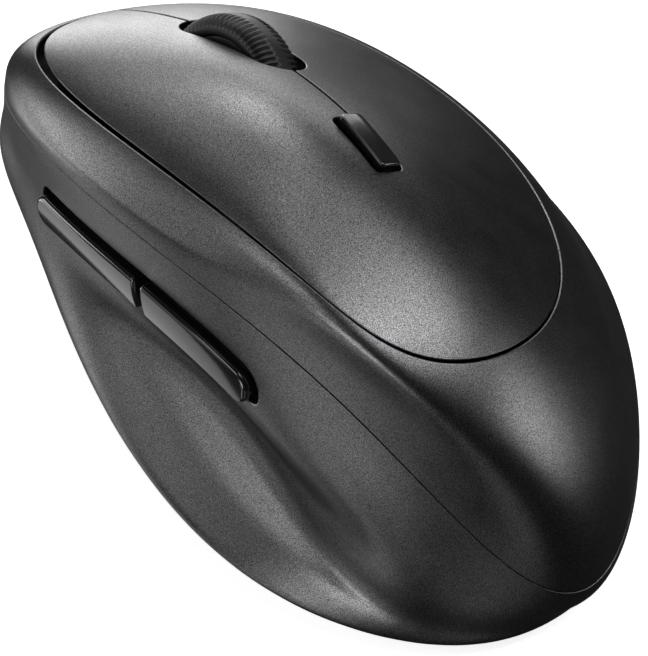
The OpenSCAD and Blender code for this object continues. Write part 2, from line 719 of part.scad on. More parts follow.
module inner_frame() {
    ear_x = cradle_room + cradle_t + ear_gap;
    color(dark_plastic) difference() {
        union() {
            top_frame() {
                translate([0, 0, frame_under]) linear_extrude(frame_t) difference() {
                    union() {
                        works_outline();
                        translate([0, rear_column_y - column_d / 2]) square([rear_column_x + column_d / 2, column_d]);
                    }
                    works_slot();
                }
                for (side = [-1, 1]) translate([side > 0 ? ear_x : -ear_x - ear_t, pivot_y - ear_half, board_under])
                    cube([ear_t, 2 * ear_half, pivot_z + ear_half - board_under]);
            }
            for (top = COLUMN_TOPS) translate([top.x, top.y, base_top])
                cylinder(d = column_d, h = top.z - base_top + column_sink, $fn = 48);
        }
        top_frame() translate([0, pivot_y, pivot_z]) rotate([0, 90, 0])
            cylinder(r = pivot_d / 2 + running, h = far_off, center = true, $fn = 32);
        for (top = COLUMN_TOPS) translate([top.x, top.y, base_top - 1])
            cylinder(d = screw_d, h = case_screw_l, $fn = 32);
    }
}

// Underside

function sole_point(i, inset) = let (p = point_in(COLUMNS[i], 0), n = normal_in(COLUMNS[i], TURNS[i], 0))
    [p.x, p.y] - inset * unit([n.x, n.y]);

module foot_outline(size) {
    hull() for (side = [-1, 1]) translate([side * (size / 2 - foot_r), 0]) circle(foot_r, $fn = 48);
}

module base_plate() {
    recess = slide_gap;
    door_w = door_x[1] - door_x[0];
    door_l = door_y[1] - door_y[0];
    color(dark_plastic) difference() {
        union() {
            translate([0, 0, foot_t]) linear_extrude(base_t)
                polygon([for (i = [0:around - 1]) sole_point(i, wall + base_gap)]);
            for (p = STANDOFFS) translate([p.x, p.y, foot_t])
                cylinder(d = standoff_d, h = main_board_z - foot_t, $fn = 48);
        }
        // Opening to the cell and the receiver, with the recess and the rails of the door
        translate([tray_x[0] + tray_t, tray_y[0] + tray_t, 0])
            cube([tray_x[1] - tray_x[0] - 2 * tray_t, tray_y[1] - tray_y[0] - 2 * tray_t, far_off]);
        translate([door_x[0] - recess, door_y[0] - recess - door_travel, 0])
            cube([door_w + 2 * recess, door_l + 2 * recess + door_travel, foot_t + door_t + recess]);
        translate([door_x[0] - recess - door_rail, door_y[0] - recess - door_travel, foot_t + door_t - door_rail_t - recess])
            cube([door_w + 2 * recess + 2 * door_rail, door_l + 2 * recess + door_travel, door_rail_t + 2 * recess]);
        // Window of the sensor and slot of the power switch
        translate([sensor_x - lens_size.x / 2 - slide_gap, sensor_y - lens_size.y / 2 - slide_gap, 0])
            cube([lens_size.x + 2 * slide_gap, lens_size.y + 2 * slide_gap, far_off]);
        translate([power_x - (knob_size.x + power_travel) / 2 - slide_gap, power_y - knob_size.y / 2 - slide_gap, 0])
            cube([knob_size.x + power_travel + 2 * slide_gap, knob_size.y + 2 * slide_gap, far_off]);
        for (top = COLUMN_TOPS) translate([top.x, top.y, 0]) {
            cylinder(d = screw_d + screw_room, h = far_off, $fn = 32);
            cylinder(d = case_head_d + 2 * screw_room, h = foot_t + case_head_t + head_sink, $fn = 48);
        }
        for (p = STANDOFFS) translate([p.x, p.y, main_board_z - board_screw_l + board_t])
            cylinder(d = board_screw_d, h = far_off, $fn = 32);
    }
}

module battery_door() {
    door_w = door_x[1] - door_x[0];
    door_l = door_y[1] - door_y[0];
    color(dark_plastic) {
        translate([door_x[0], door_y[0], foot_t]) difference() {
            cube([door_w, door_l, door_t]);
            for (i = [0:grip_count - 1])
                translate([door_w / 2 - grip_size.x / 2, door_l - grip_end - grip_pitch * i, -grip_size.z])
                    cube([grip_size.x, grip_size.y, 2 * grip_size.z]);
        }
        translate([door_x[0] - door_rail, door_y[0], foot_t + door_t - door_rail_t])
            cube([door_w + 2 * door_rail, door_l, door_rail_t]);
    }
}

module front_feet() {
    color(rubber_black) for (p = FRONT_FEET) translate([p.x, p.y, 0]) rotate([0, 0, 90])
        linear_extrude(foot_t) foot_outline(front_foot_l);
}

module rear_foot() {
    color(rubber_black) translate([rear_foot_spot.x, rear_foot_spot.y, 0])
        linear_extrude(foot_t) foot_outline(rear_foot_l);
}

module sensor_lens() {
    color([0.85, 0.9, 0.95]) translate([sensor_x, sensor_y, 0]) {
        translate([-lens_size.x / 2, -lens_size.y / 2, foot_t + lens_sink])
            cube([lens_size.x, lens_size.y, base_t - lens_sink + lens_flange / 2]);
        translate([-lens_size.x / 2 - lens_flange, -lens_size.y / 2 - lens_flange, base_top])
            cube([lens_size.x + 2 * lens_flange, lens_size.y + 2 * lens_flange, lens_flange]);
        translate([0, 0, base_top]) cylinder(d = lens_d, h = main_board_z - chip_size.z - slide_gap - base_top, $fn = 48);
    }
}

module sensor_chip() {
    color("black") translate([sensor_x - chip_size.x / 2, sensor_y - chip_size.y / 2, main_board_z - chip_size.z])
        cube(chip_size);
}

module main_board() {
    color(board_green) difference() {
        translate([board_x[0], board_y[0], main_board_z])
            cube([board_x[1] - board_x[0], board_y[1] - board_y[0], board_t]);
        for (p = STANDOFFS) translate([p.x, p.y, 0]) cylinder(d = board_screw_d + screw_room, h = far_off, $fn = 32);
    }
}

module power_switch_body() {
    color(metal) translate([power_x - power_body.x / 2, power_y - power_body.y / 2, main_board_z - power_body.z])
        cube(power_body);
}

module power_switch_knob() {
    low = foot_t + knob_recess;
    color("white") translate([power_x - knob_size.x / 2 - power_travel / 2, power_y - knob_size.y / 2, low])
        cube([knob_size.x, knob_size.y, main_board_z - power_body.z - slide_gap - low]);
}

module battery_cell() {
    nub = 0.9;
    nub_d = 3.8;
    color([0.7, 0.55, 0.2]) translate([cell_x, cell_y - cell_l / 2, cell_z]) rotate([-90, 0, 0]) {
        cylinder(d = cell_d, h = cell_l - nub, $fn = 64);
        cylinder(d = nub_d, h = cell_l, $fn = 48);
    }
}

module battery_tray() {
    inner = [tray_x[1] - tray_x[0] - 2 * tray_t, tray_y[1] - tray_y[0] - 2 * tray_t];
    rib_x = cell_x - cell_d / 2 - cell_room - tray_t;
    rib_low = base_top + receiver_cap + cell_room;
    color(dark_plastic) {
        difference() {
            translate([tray_x[0], tray_y[0], base_top])
                cube([tray_x[1] - tray_x[0], tray_y[1] - tray_y[0], tray_top + tray_t - base_top]);
            translate([tray_x[0] + tray_t, tray_y[0] + tray_t, base_top - 1])
                cube([inner.x, inner.y, tray_top - base_top + 1]);
        }
        translate([rib_x, tray_y[0] + tray_t / 2, rib_low])
            cube([tray_t, inner.y + tray_t, tray_top + slide_gap - rib_low]);
    }
}

contact_w = 7;
module contact_plate(y) {
    translate([cell_x - contact_w / 2, y, base_top + cell_room]) cube([contact_w, contact_t, cell_d - 1]);
}

module positive_contact() {
    color(metal) contact_plate(tray_y[1] - tray_t - contact_t);
}

module negative_contact() {
    y = tray_y[0] + tray_t;
    color(metal) {
        contact_plate(y);
        translate([cell_x, y + contact_t, cell_z]) rotate([-90, 0, 0])
            cylinder(d1 = spring_d[0], d2 = spring_d[1], h = spring_l - contact_gap, $fn = 48);
    }
}

module usb_receiver() {
    plug_l = receiver_size.y - receiver_cap;
    plug_w = receiver_size.x - 2 * slide_gap;
    color(dark_plastic) translate([receiver_x, receiver_y, base_top + slide_gap / 2]) {
        translate([-receiver_size.x / 2, receiver_size.y / 2 - receiver_cap, 0])
            cube([receiver_size.x, receiver_cap, receiver_cap]);
        translate([-plug_w / 2, -receiver_size.y / 2, 0]) cube([plug_w, plug_l, receiver_size.z]);
    }
}

module case_screws() {
    color(metal) for (top = COLUMN_TOPS) translate([top.x, top.y, foot_t]) {
        translate([0, 0, head_sink]) cylinder(d = case_head_d, h = case_head_t, $fn = 48);
        translate([0, 0, head_sink]) cylinder(d = screw_d - 2 * running, h = case_screw_l, $fn = 32);
    }
}

module board_screws() {
    color(metal) for (p = STANDOFFS) translate([p.x, p.y, main_board_z + board_t]) {
        cylinder(d = board_head_d, h = board_head_t, $fn = 32);
        translate([0, 0, screw_room - board_screw_l]) cylinder(d = board_screw_d - 2 * running, h = board_screw_l, $fn = 32);
    }
}

// Flat cable from the button board down to the main board
module ribbon_cable() {
    cable_w = 4;
    cable_t = 0.5;
    side_x = -works_left - cable_t - snug;
    side_y = works_front - cable_w;
    low = frame_under - board_t - snug;
    color("white") resize([0, 0, 0]) union() {
        top_frame() translate([side_x, side_y, low]) cube([cable_t, cable_w, board_top - low]);
        hull() {
            top_frame() translate([side_x, side_y, low]) cube([cable_t, cable_w, cable_t]);
            translate([board_x[0] - cable_t - snug, board_y[1] - cable_w - standoff_in, main_board_z])
                cube([cable_t, cable_w, board_t]);
        }
    }
}

base_plate();
thumb_shell();
upper_shell();
palm_cover();
left_button();
right_button();
wheel_tyre();
wheel_hub();
wheel_axle();
wheel_cradle();
wheel_encoder();
middle_switch();
dpi_button();
dpi_switch();
forward_button();
back_button();
side_button_frame();
side_board();
side_switches();
button_board();
left_switch();
right_switch();
left_switch_pin();
right_switch_pin();
inner_frame();
main_board();
sensor_chip();
sensor_lens();
power_switch_body();
power_switch_knob();
battery_door();
battery_cell();
battery_tray();
positive_contact();
negative_contact();
usb_receiver();
front_feet();
rear_foot();
case_screws();
board_screws();
ribbon_cable();
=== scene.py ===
"""Looks of an upright mouse: fine shells, a split top panel, a ribbed wheel and gloss buttons."""

import json
import logging
import math
from dataclasses import dataclass, field
from enum import Enum

import bpy
import numpy as np
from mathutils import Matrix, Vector


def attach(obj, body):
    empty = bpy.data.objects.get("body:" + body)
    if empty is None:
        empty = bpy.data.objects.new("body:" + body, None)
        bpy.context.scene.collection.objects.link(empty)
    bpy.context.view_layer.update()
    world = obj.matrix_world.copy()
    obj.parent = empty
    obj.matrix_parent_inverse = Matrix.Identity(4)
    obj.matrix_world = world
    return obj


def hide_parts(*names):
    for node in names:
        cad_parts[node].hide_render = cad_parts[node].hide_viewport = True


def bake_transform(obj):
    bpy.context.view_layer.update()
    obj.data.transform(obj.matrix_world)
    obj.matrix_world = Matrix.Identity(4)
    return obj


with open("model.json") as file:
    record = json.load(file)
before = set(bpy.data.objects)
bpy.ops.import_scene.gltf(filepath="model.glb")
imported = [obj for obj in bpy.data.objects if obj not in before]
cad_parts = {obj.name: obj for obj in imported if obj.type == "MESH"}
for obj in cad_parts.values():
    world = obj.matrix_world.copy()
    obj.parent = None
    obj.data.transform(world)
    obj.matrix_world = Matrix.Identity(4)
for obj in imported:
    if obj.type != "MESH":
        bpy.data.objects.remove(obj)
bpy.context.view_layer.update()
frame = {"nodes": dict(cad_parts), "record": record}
LOG = logging.getLogger("mouse")
MM = 0.001
TINY = 1e-12
WHITE_LIGHT = (1.0, 1.0, 1.0, 1.0)
Ring = tuple[tuple[float, float, float], ...]
# Turns in degrees about x, y and z, and places as a compass angle and a height along the loft
WHEEL_TURN = (-19.5, 30.0, -6.0)
PRESS_AT = (14.0, 7.58)
PRESS_TURN = (0.0, 19.0, -2.0)
CENTRE_AT = (301.0, 7.5)
CENTRE_TURN = (6.0, 33.0, -2.0)


class Side(Enum):
    """Half of the top panel, as the user sees it."""

    LEFT = -1
    RIGHT = 1


class Edge(Enum):
    """Kind of edge round a panel half: how far its wall leans in at the foot, and how far it rounds under."""

    RIM = (-1.9, -40.0)
    SLOT = (-0.9, -20.0)
    SPLIT = (0.3, 0.0)
    SEAM = (0.0, 90.0)


class Slot(Enum):
    """Material slots of the record."""

    GUNMETAL = "gunmetal"
    GLOSS = "gloss_black"
    RUBBER = "tyre_rubber"
    DARK = "dark_plastic"
    SWITCH = "switch_black"
    BOARD = "board_green"
    WHITE = "white_plastic"
    LENS = "clear_lens"
    WRAP = "cell_wrap"
    STEEL = "steel"
    GLIDE = "glide"


def unit(v: np.ndarray) -> np.ndarray:
    """Scales vectors to length one."""
    return v / np.maximum(np.linalg.norm(v, axis=-1, keepdims=True), TINY)


def distance_run(points: np.ndarray) -> np.ndarray:
    """Distance run along a line at each of its points."""
    steps = np.linalg.norm(np.diff(points, axis=0), axis=1)
    return np.concatenate([[0.0], np.cumsum(steps)])


def resample(points: np.ndarray, count: int) -> np.ndarray:
    """Spreads points evenly along a line.

    Args:
        points: The line's points, one per row.
        count: How many points to return.

    Returns:
        Points at even distances, the first and last kept.
    """
    along = distance_run(points)
    at = np.linspace(0.0, along[-1], count)
    return np.stack([np.interp(at, along, points[:, k]) for k in range(points.shape[1])], axis=1)


def positive_run(points: np.ndarray, score: np.ndarray) -> np.ndarray:
    """Cuts the stretch of a closed outline where a score is positive.

    Args:
        points: The outline's points, one per row.
        score: One number for each point; there is one positive stretch.

    Returns:
        The stretch, with its two end points put where the score is zero.
    """
    count = len(points)
    first = next(i for i in range(count) if score[i] > 0 >= score[i - 1])
    order = np.roll(np.arange(count), -first)
    points = points[order]
    score = score[order]
    last = int(np.argmax(score <= 0))

    def zero(i: int, j: int) -> np.ndarray:
        """Point between two neighbours where the score is zero."""
        return points[i] + (points[j] - points[i]) * score[i] / (score[i] - score[j])

    return np.vstack([zero(0, -1), points[:last], zero(last - 1, last)])


@dataclass(frozen=True)
class Spot:
    """A frame of its own on the body: an origin and three axes, one per row."""

    origin: np.ndarray
    axes: np.ndarray

    @classmethod
    def turned(cls, origin: np.ndarray, turn: tuple[float, float, float]) -> "Spot":
        """Makes a spot from an origin and turns in degrees about x, y and z.

        Args:
            origin: The spot's origin in the body's frame.
            turn: Turns in degrees, taken in that order.

        Returns:
            The new spot.
        """
        x, y, z = np.radians(turn)
        about_x = np.array([[1, 0, 0], [0, math.cos(x), -math.sin(x)], [0, math.sin(x), math.cos(x)]])
        about_y = np.array([[math.cos(y), 0, math.sin(y)], [0, 1, 0], [-math.sin(y), 0, math.cos(y)]])
        about_z = np.array([[math.cos(z), -math.sin(z), 0], [math.sin(z), math.cos(z), 0], [0, 0, 1]])
        return cls(np.asarray(origin, float), (about_z @ about_y @ about_x).T)

    def local(self, points: np.ndarray) -> np.ndarray:
        """Gives points in this frame."""
        return (points - self.origin) @ self.axes.T

    def world(self, points: np.ndarray) -> np.ndarray:
        """Gives this frame's points in the body's frame."""
        return self.origin + points @ self.axes


@dataclass
class BodyForm:
    """Smooth loft through seven rings of eight compass points, closed by a crown, in millimetres.

    The compass points are right, front right, front, front left, left, rear left, rear, rear right.
    Heights along the loft are 0 sole, 1 skirt, 2 waist, 3 wall, 4 seam, 5 shoulder, 6 panel, 8 crown.
    """

    sole: Ring = ((27, 0, 0.8), (16, 33.5, 0.8), (-4, 46.5, 0.8), (-22, 32, 0.8),
                  (-31.5, -5.5, 0.8), (-24, -36.5, 0.8), (-5, -48.5, 0.8), (18, -34.5, 0.8))
    skirt: Ring = ((32.5, 0, 4), (20.5, 37.5, 6), (-4, 52.5, 10), (-23.5, 37, 7),
                   (-35.5, -6, 5), (-28, -39, 3), (-6, -53, 2.3), (21.5, -37, 3.2))
    waist: Ring = ((35, 0, 6.5), (22.5, 38.5, 9), (-4, 54.5, 14), (-24, 40.5, 17),
                   (-24, -3.5, 15), (-25, -37, 8.5), (-5.5, -53.8, 3.8), (22.8, -37.2, 4.6))
    wall: Ring = ((36, 0, 9), (22.5, 39, 12), (-4, 55, 18), (-23.5, 40, 25.5),
                  (-27.5, -3, 27), (-25, -37, 18), (-5, -54.3, 5.2), (23, -37.2, 6.2))
    seam: Ring = ((36, 0, 11.5), (23, 38.5, 15), (-4, 54.5, 21.5), (-23.5, 40, 35),
                  (-26.5, -0.5, 44.5), (-18.5, -36.5, 31), (-4, -55, 8.2), (23, -37, 8.4))
    shoulder: Ring = ((32, 0, 19.5), (22.5, 37, 22.5), (-5, 53, 25.5), (-24.3, 35.5, 39),
                      (-24.5, -6, 48.5), (-17, -35.5, 41.5), (-2.5, -51.5, 25), (20.5, -34.5, 19.5))
    panel: Ring = ((27.5, 0, 29), (19, 32, 30.5), (-3, 46.5, 35.5), (-19.5, 39, 42),
                   (-21.5, -2.5, 52.5), (-17, -30, 48.5), (-2.5, -36.5, 42), (18, -26, 31))
    crown_point: tuple[float, float, float] = (-3, 4, 54)
    crown_bulge: float = 3.0
    drawn_middle: tuple[float, float, float] = (0.74, 0.04, 0.0)
    hollow_angle: float = 195.0
    hollow_spread: float = 32.0
    hollow_up: float = 2.45
    hollow_climb: float = 0.014
    hollow_width: float = 0.4
    hollow_deep: float = 1.5
    crest_up: float = 1.55
    crest_width: float = 0.3
    crest_lift: float = 1.3
    at_seam: float = 4.0
    at_panel: float = 6.0
    at_crown: float = 8.0
    height_step: float = 0.01
    angle_step: float = 0.5
    flat_limit: float = 1e-7
    search_rings: int = 40
    search_turn: int = 3
    search_rounds: int = 8
    search_step: float = 1e-3

    def __post_init__(self) -> None:
        """Works out what every column of the loft shares."""
        drawn = (self.sole, self.skirt, self.waist, self.wall, self.seam, self.shoulder, self.panel)
        middle = np.array(self.drawn_middle)
        self.rings = np.array(drawn, float) - middle
        self.compass = np.arange(8) * 45.0
        self.crown = np.array(self.crown_point, float) - middle
        turns = np.radians(self.compass)
        edge = self.rings[6]
        self.edge_cos = np.cos(turns) @ edge / 4
        self.edge_sin = np.sin(turns) @ edge / 4
        self.lean = unit(np.cross(self.edge_cos, self.edge_sin))
        self.half_way = (self.crown + edge.mean(axis=0)) / 2 + self.crown_bulge * self.lean
        self.crown_control = (6 * self.crown - 2 * self.half_way) / 4

    def columns(self, angle: np.ndarray) -> np.ndarray:
        """Control points up the body at compass angles in degrees.

        Args:
            angle: One compass angle for each column.

        Returns:
            Eleven control points for each angle.
        """
        t = np.radians(angle[:, None] - self.compass)
        share = (1 + 2 * np.cos(t) + 2 * np.cos(2 * t) + 2 * np.cos(3 * t) + np.cos(4 * t)) / 8
        a = np.radians(angle)[:, None]
        reach = (np.cos(a) * self.edge_cos + np.sin(a) * self.edge_sin) / 2
        on = np.einsum("na,kad->nkd", share, self.rings)
        on = np.concatenate([on, (self.half_way + reach)[:, None]], axis=1)
        held = on.copy()
        held[:, 1:7] -= (on[:, 0:6] - 2 * on[:, 1:7] + on[:, 2:8]) / 6
        below = (2 * held[:, 0] - held[:, 1])[:, None]
        top = np.broadcast_to(self.crown_control, (len(angle), 1, 3))
        return np.concatenate([below, held, top, (self.half_way - reach)[:, None]], axis=1)

    def relief(self, angle: np.ndarray, up: np.ndarray) -> np.ndarray:
        """Shifts of the loft that deepen the thumb hollow and raise the wing's crest.

        Args:
            angle: Compass angles in degrees.
            up: Heights along the loft, of the same shape.

        Returns:
            Shifts in millimetres.
        """
        off = (angle - self.hollow_angle + 180) % 360 - 180
        near = np.exp(-(off / self.hollow_spread) ** 4)
        along = (up - self.hollow_up - self.hollow_climb * off) / self.hollow_width
        sink = self.hollow_deep * near * np.exp(-along ** 2)
        lift = self.crest_lift * near * np.exp(-((up - self.crest_up) / self.crest_width) ** 2)
        return np.stack([sink, np.zeros_like(sink), lift], axis=-1)

    def blended(self, angle: np.ndarray, up: np.ndarray, rate: bool) -> np.ndarray:
        """Blends control points into points of the body, or into their rate along the height.

        Args:
            angle: Compass angles in degrees.
            up: Heights along the loft, of the same shape or one that spreads to it.
            rate: Whether to give the rate instead of the point.

        Returns:
            Points or rates, with three numbers on the last axis.
        """
        angle, up = np.broadcast_arrays(np.asarray(angle, float), np.asarray(up, float))
        shape = angle.shape
        angle = angle.ravel()
        up = up.ravel()
        step = np.clip(np.floor(up).astype(int), 0, 7)
        t = up - step
        if rate:
            weights = [-(1 - t) ** 2 / 2, (3 * t * t - 4 * t) / 2, (-3 * t * t + 2 * t + 1) / 2, t * t / 2]
        else:
            weights = [(1 - t) ** 3 / 6, (3 * t ** 3 - 6 * t * t + 4) / 6,
                       (-3 * t ** 3 + 3 * t * t + 3 * t + 1) / 6, t ** 3 / 6]
        column = self.columns(angle)
        rows = np.arange(len(angle))
        mixed = sum(weights[j][:, None] * column[rows, step + j] for j in range(4))
        if rate:
            step_up = self.height_step
            mixed += (self.relief(angle, up + step_up) - self.relief(angle, up - step_up)) / (2 * step_up)
        else:
            mixed += self.relief(angle, up)
        return mixed.reshape(shape + (3,))

    def point(self, angle: np.ndarray, up: np.ndarray) -> np.ndarray:
        """Points of the body at compass angles and heights."""
        return self.blended(angle, up, rate=False)

    def normal(self, angle: np.ndarray, up: np.ndarray) -> np.ndarray:
        """Outward normals of the body at compass angles and heights.

        Args:
            angle: Compass angles in degrees.
            up: Heights along the loft.

        Returns:
            Unit normals, with three numbers on the last axis.
        """
        angle = np.asarray(angle)
        around = self.point(angle + self.angle_step, up) - self.point(angle - self.angle_step, up)
        across = np.cross(around, self.blended(angle, up, rate=True))
        flat = np.linalg.norm(across, axis=-1, keepdims=True) < self.flat_limit
        return np.where(flat, self.lean, unit(across))

    def rate(self, angle: np.ndarray, up: np.ndarray) -> np.ndarray:
        """Millimetres of surface for one step of height."""
        return np.linalg.norm(self.blended(angle, up, rate=True), axis=-1)

    def set_in(self, angle: np.ndarray, up: float, gap: np.ndarray) -> np.ndarray:
        """Heights that lie a gap further up the surface."""
        return up + gap / self.rate(angle, up)

    def under(self, angle: np.ndarray, up: np.ndarray, depth: float) -> np.ndarray:
        """Points at a depth under the surface."""
        return self.point(angle, up) - depth * self.normal(angle, up)

    def disc(self, spread: np.ndarray) -> tuple[np.ndarray, np.ndarray]:
        """Turns places on the flat disc of the top into compass angles and heights."""
        angle = np.degrees(np.arctan2(spread[..., 1], spread[..., 0]))
        return angle, self.at_crown - np.hypot(spread[..., 0], spread[..., 1])

    def top_point(self, spread: np.ndarray) -> np.ndarray:
        """Points of the top at places on its flat disc."""
        return self.point(*self.disc(spread))

    def top_normal(self, spread: np.ndarray) -> np.ndarray:
        """Normals of the top at places on its flat disc."""
        return self.normal(*self.disc(spread))

    def find(self, spot: Spot, targets: np.ndarray) -> np.ndarray:
        """Finds the places on the disc that lie at given x and y in a spot's frame.

        Args:
            spot: The frame in which the targets are given.
            targets: Wanted x and y, one pair per row.

        Returns:
            Places on the flat disc of the top, one pair per row.
        """
        reach = np.linspace(self.height_step, self.at_crown - self.at_panel, self.search_rings)[:, None]
        turn = np.radians(np.arange(0, 360, self.search_turn))[None, :]
        tries = np.stack([reach * np.cos(turn), reach * np.sin(turn)], axis=-1).reshape(-1, 2)
        seen = spot.local(self.top_point(tries))[:, :2]
        far = np.linalg.norm(seen[None] - targets[:, None], axis=-1)
        spread = tries[np.argmin(far, axis=1)]
        step = self.search_step
        for _ in range(self.search_rounds):
            now = spot.local(self.top_point(spread))[:, :2]
            by_x = (spot.local(self.top_point(spread + [step, 0]))[:, :2] - now) / step
            by_y = (spot.local(self.top_point(spread + [0, step]))[:, :2] - now) / step
            jacobian = np.stack([by_x, by_y], axis=-1)
            spread = spread + np.linalg.solve(jacobian, (targets - now)[..., None])[..., 0]
        return spread


@dataclass(frozen=True)
class Skin:
    """A grid of points with the directions in which they face; a zero direction is worked out."""

    points: np.ndarray
    facing: np.ndarray

    @classmethod
    def stacked(cls, parts: list["Skin"]) -> "Skin":
        """Joins grids row after row."""
        return cls(np.concatenate([p.points for p in parts]), np.concatenate([p.facing for p in parts]))

    @classmethod
    def plain(cls, points: np.ndarray) -> "Skin":
        """Makes a grid whose directions are worked out."""
        return cls(points, np.zeros_like(points))

    def closed(self) -> "Skin":
        """Repeats the first row at the end."""
        points = np.concatenate([self.points, self.points[:1]])
        return Skin(points, np.concatenate([self.facing, self.facing[:1]]))

    def reversed(self) -> "Skin":
        """Turns the order of the rows round."""
        return Skin(self.points[::-1], self.facing[::-1])


def rounding(edge: np.ndarray, out: np.ndarray, up: np.ndarray, radius: float, last: np.ndarray,
             steps: int = 6) -> Skin:
    """Rounds an edge: rows that turn from the surface towards the wall.

    Args:
        edge: Points where the rounding leaves the surface.
        out: Directions along the surface, away from the piece.
        up: Outward normals of the surface.
        radius: Radius of the rounding.
        last: Angle in degrees at which the rounding ends, 90 for none and 0 for a square wall.
        steps: How many rows to make.

    Returns:
        The rows of the rounding, without the edge itself.
    """
    share = np.linspace(0, 1, steps + 1)[1:, None]
    turn = np.radians(90 + (last - 90) * share)[..., None]
    facing = np.cos(turn) * out + np.sin(turn) * up
    return Skin(edge + radius * (facing - up), facing)


def outward(line: np.ndarray, up: np.ndarray, inside: np.ndarray) -> np.ndarray:
    """Directions along a surface that point away from a piece at its edge.

    Args:
        line: Points along the edge.
        up: Normals of the surface there.
        inside: Points a little further inside the piece.

    Returns:
        Unit directions, square to the edge and to the normal.
    """
    across = unit(np.cross(np.gradient(line, axis=0), up))
    sign = np.sign(np.sum(across * (line - inside)))
    return across * sign


class Bench:
    """Turns grids into finished meshes."""

    merge: float = 1e-7

    @staticmethod
    def clear() -> None:
        """Deselects everything."""
        bpy.ops.object.select_all(action="DESELECT")

    def sheet(self, name: str, skin: Skin) -> bpy.types.Object:
        """Adds a grid and lays its points on a skin.

        Args:
            name: Name of the piece.
            skin: Points in millimetres, rows by columns.

        Returns:
            The new object.
        """
        rows, columns = skin.points.shape[:2]
        self.clear()
        bpy.ops.mesh.primitive_grid_add(x_subdivisions=columns - 1, y_subdivisions=rows - 1,
                                        location=(0, 0, 0))
        piece = bpy.context.object
        piece.name = name
        piece.data.name = name
        piece.data.vertices.foreach_set("co", (skin.points * MM).ravel())
        facing = piece.data.attributes.new("facing", "FLOAT_VECTOR", "POINT")
        facing.data.foreach_set("vector", skin.facing.ravel())
        return piece

    def piece(self, name: str, skins: list[Skin]) -> bpy.types.Object:
        """Joins grids into one closed mesh with smooth shading.

        Args:
            name: Name of the piece.
            skins: Grids whose borders meet.

        Returns:
            The finished object, at the origin.
        """
        sheets = [self.sheet(name, skin) for skin in skins]
        self.clear()
        for sheet in sheets:
            sheet.select_set(True)
        bpy.context.view_layer.objects.active = sheets[0]
        if len(sheets) > 1:
            bpy.ops.object.join()
        piece = bpy.context.object
        bpy.ops.object.mode_set(mode="EDIT")
        bpy.ops.mesh.select_all(action="SELECT")
        bpy.ops.mesh.remove_doubles(threshold=self.merge)
        bpy.ops.mesh.dissolve_degenerate(threshold=self.merge)
        bpy.ops.mesh.select_all(action="SELECT")
        bpy.ops.mesh.fill_holes(sides=0)
        bpy.ops.mesh.select_all(action="SELECT")
        bpy.ops.mesh.normals_make_consistent(inside=False)
        bpy.ops.object.mode_set(mode="OBJECT")
        bpy.ops.object.shade_smooth()
        self.face(piece)
        return piece

    @staticmethod
    def face(piece: bpy.types.Object) -> None:
        """Gives a mesh the normals that its grid was made with.

        Args:
            piece: The object, with the directions kept on its points.
        """
        mesh = piece.data
        facing = np.zeros(len(mesh.vertices) * 3, dtype=np.float32)
        mesh.attributes["facing"].data.foreach_get("vector", facing)
        mesh.normals_split_custom_set_from_vertices(facing.reshape(-1, 3).tolist())
        mesh.attributes.remove(mesh.attributes["facing"])


# Noise shared by every finish: detail, the part of its range that is spread out, and the clouds' size
FINE_DETAIL = 2.0
FINE_RANGE = (0.38, 0.72)
CLOUD_DETAIL = 1.0
CLOUD_GRAINS = 40.0
LEAST_ROUGH = 0.02


@dataclass(frozen=True)
class Grain:
    """Fine grain of a surface: size of a grain in millimetres and how much it shows."""

    size: float = 0.3
    tone: float = 0.2
    rough: float = 0.1
    bump: float = 0.1
    stretch: tuple[float, float, float] = (1.0, 1.0, 1.0)


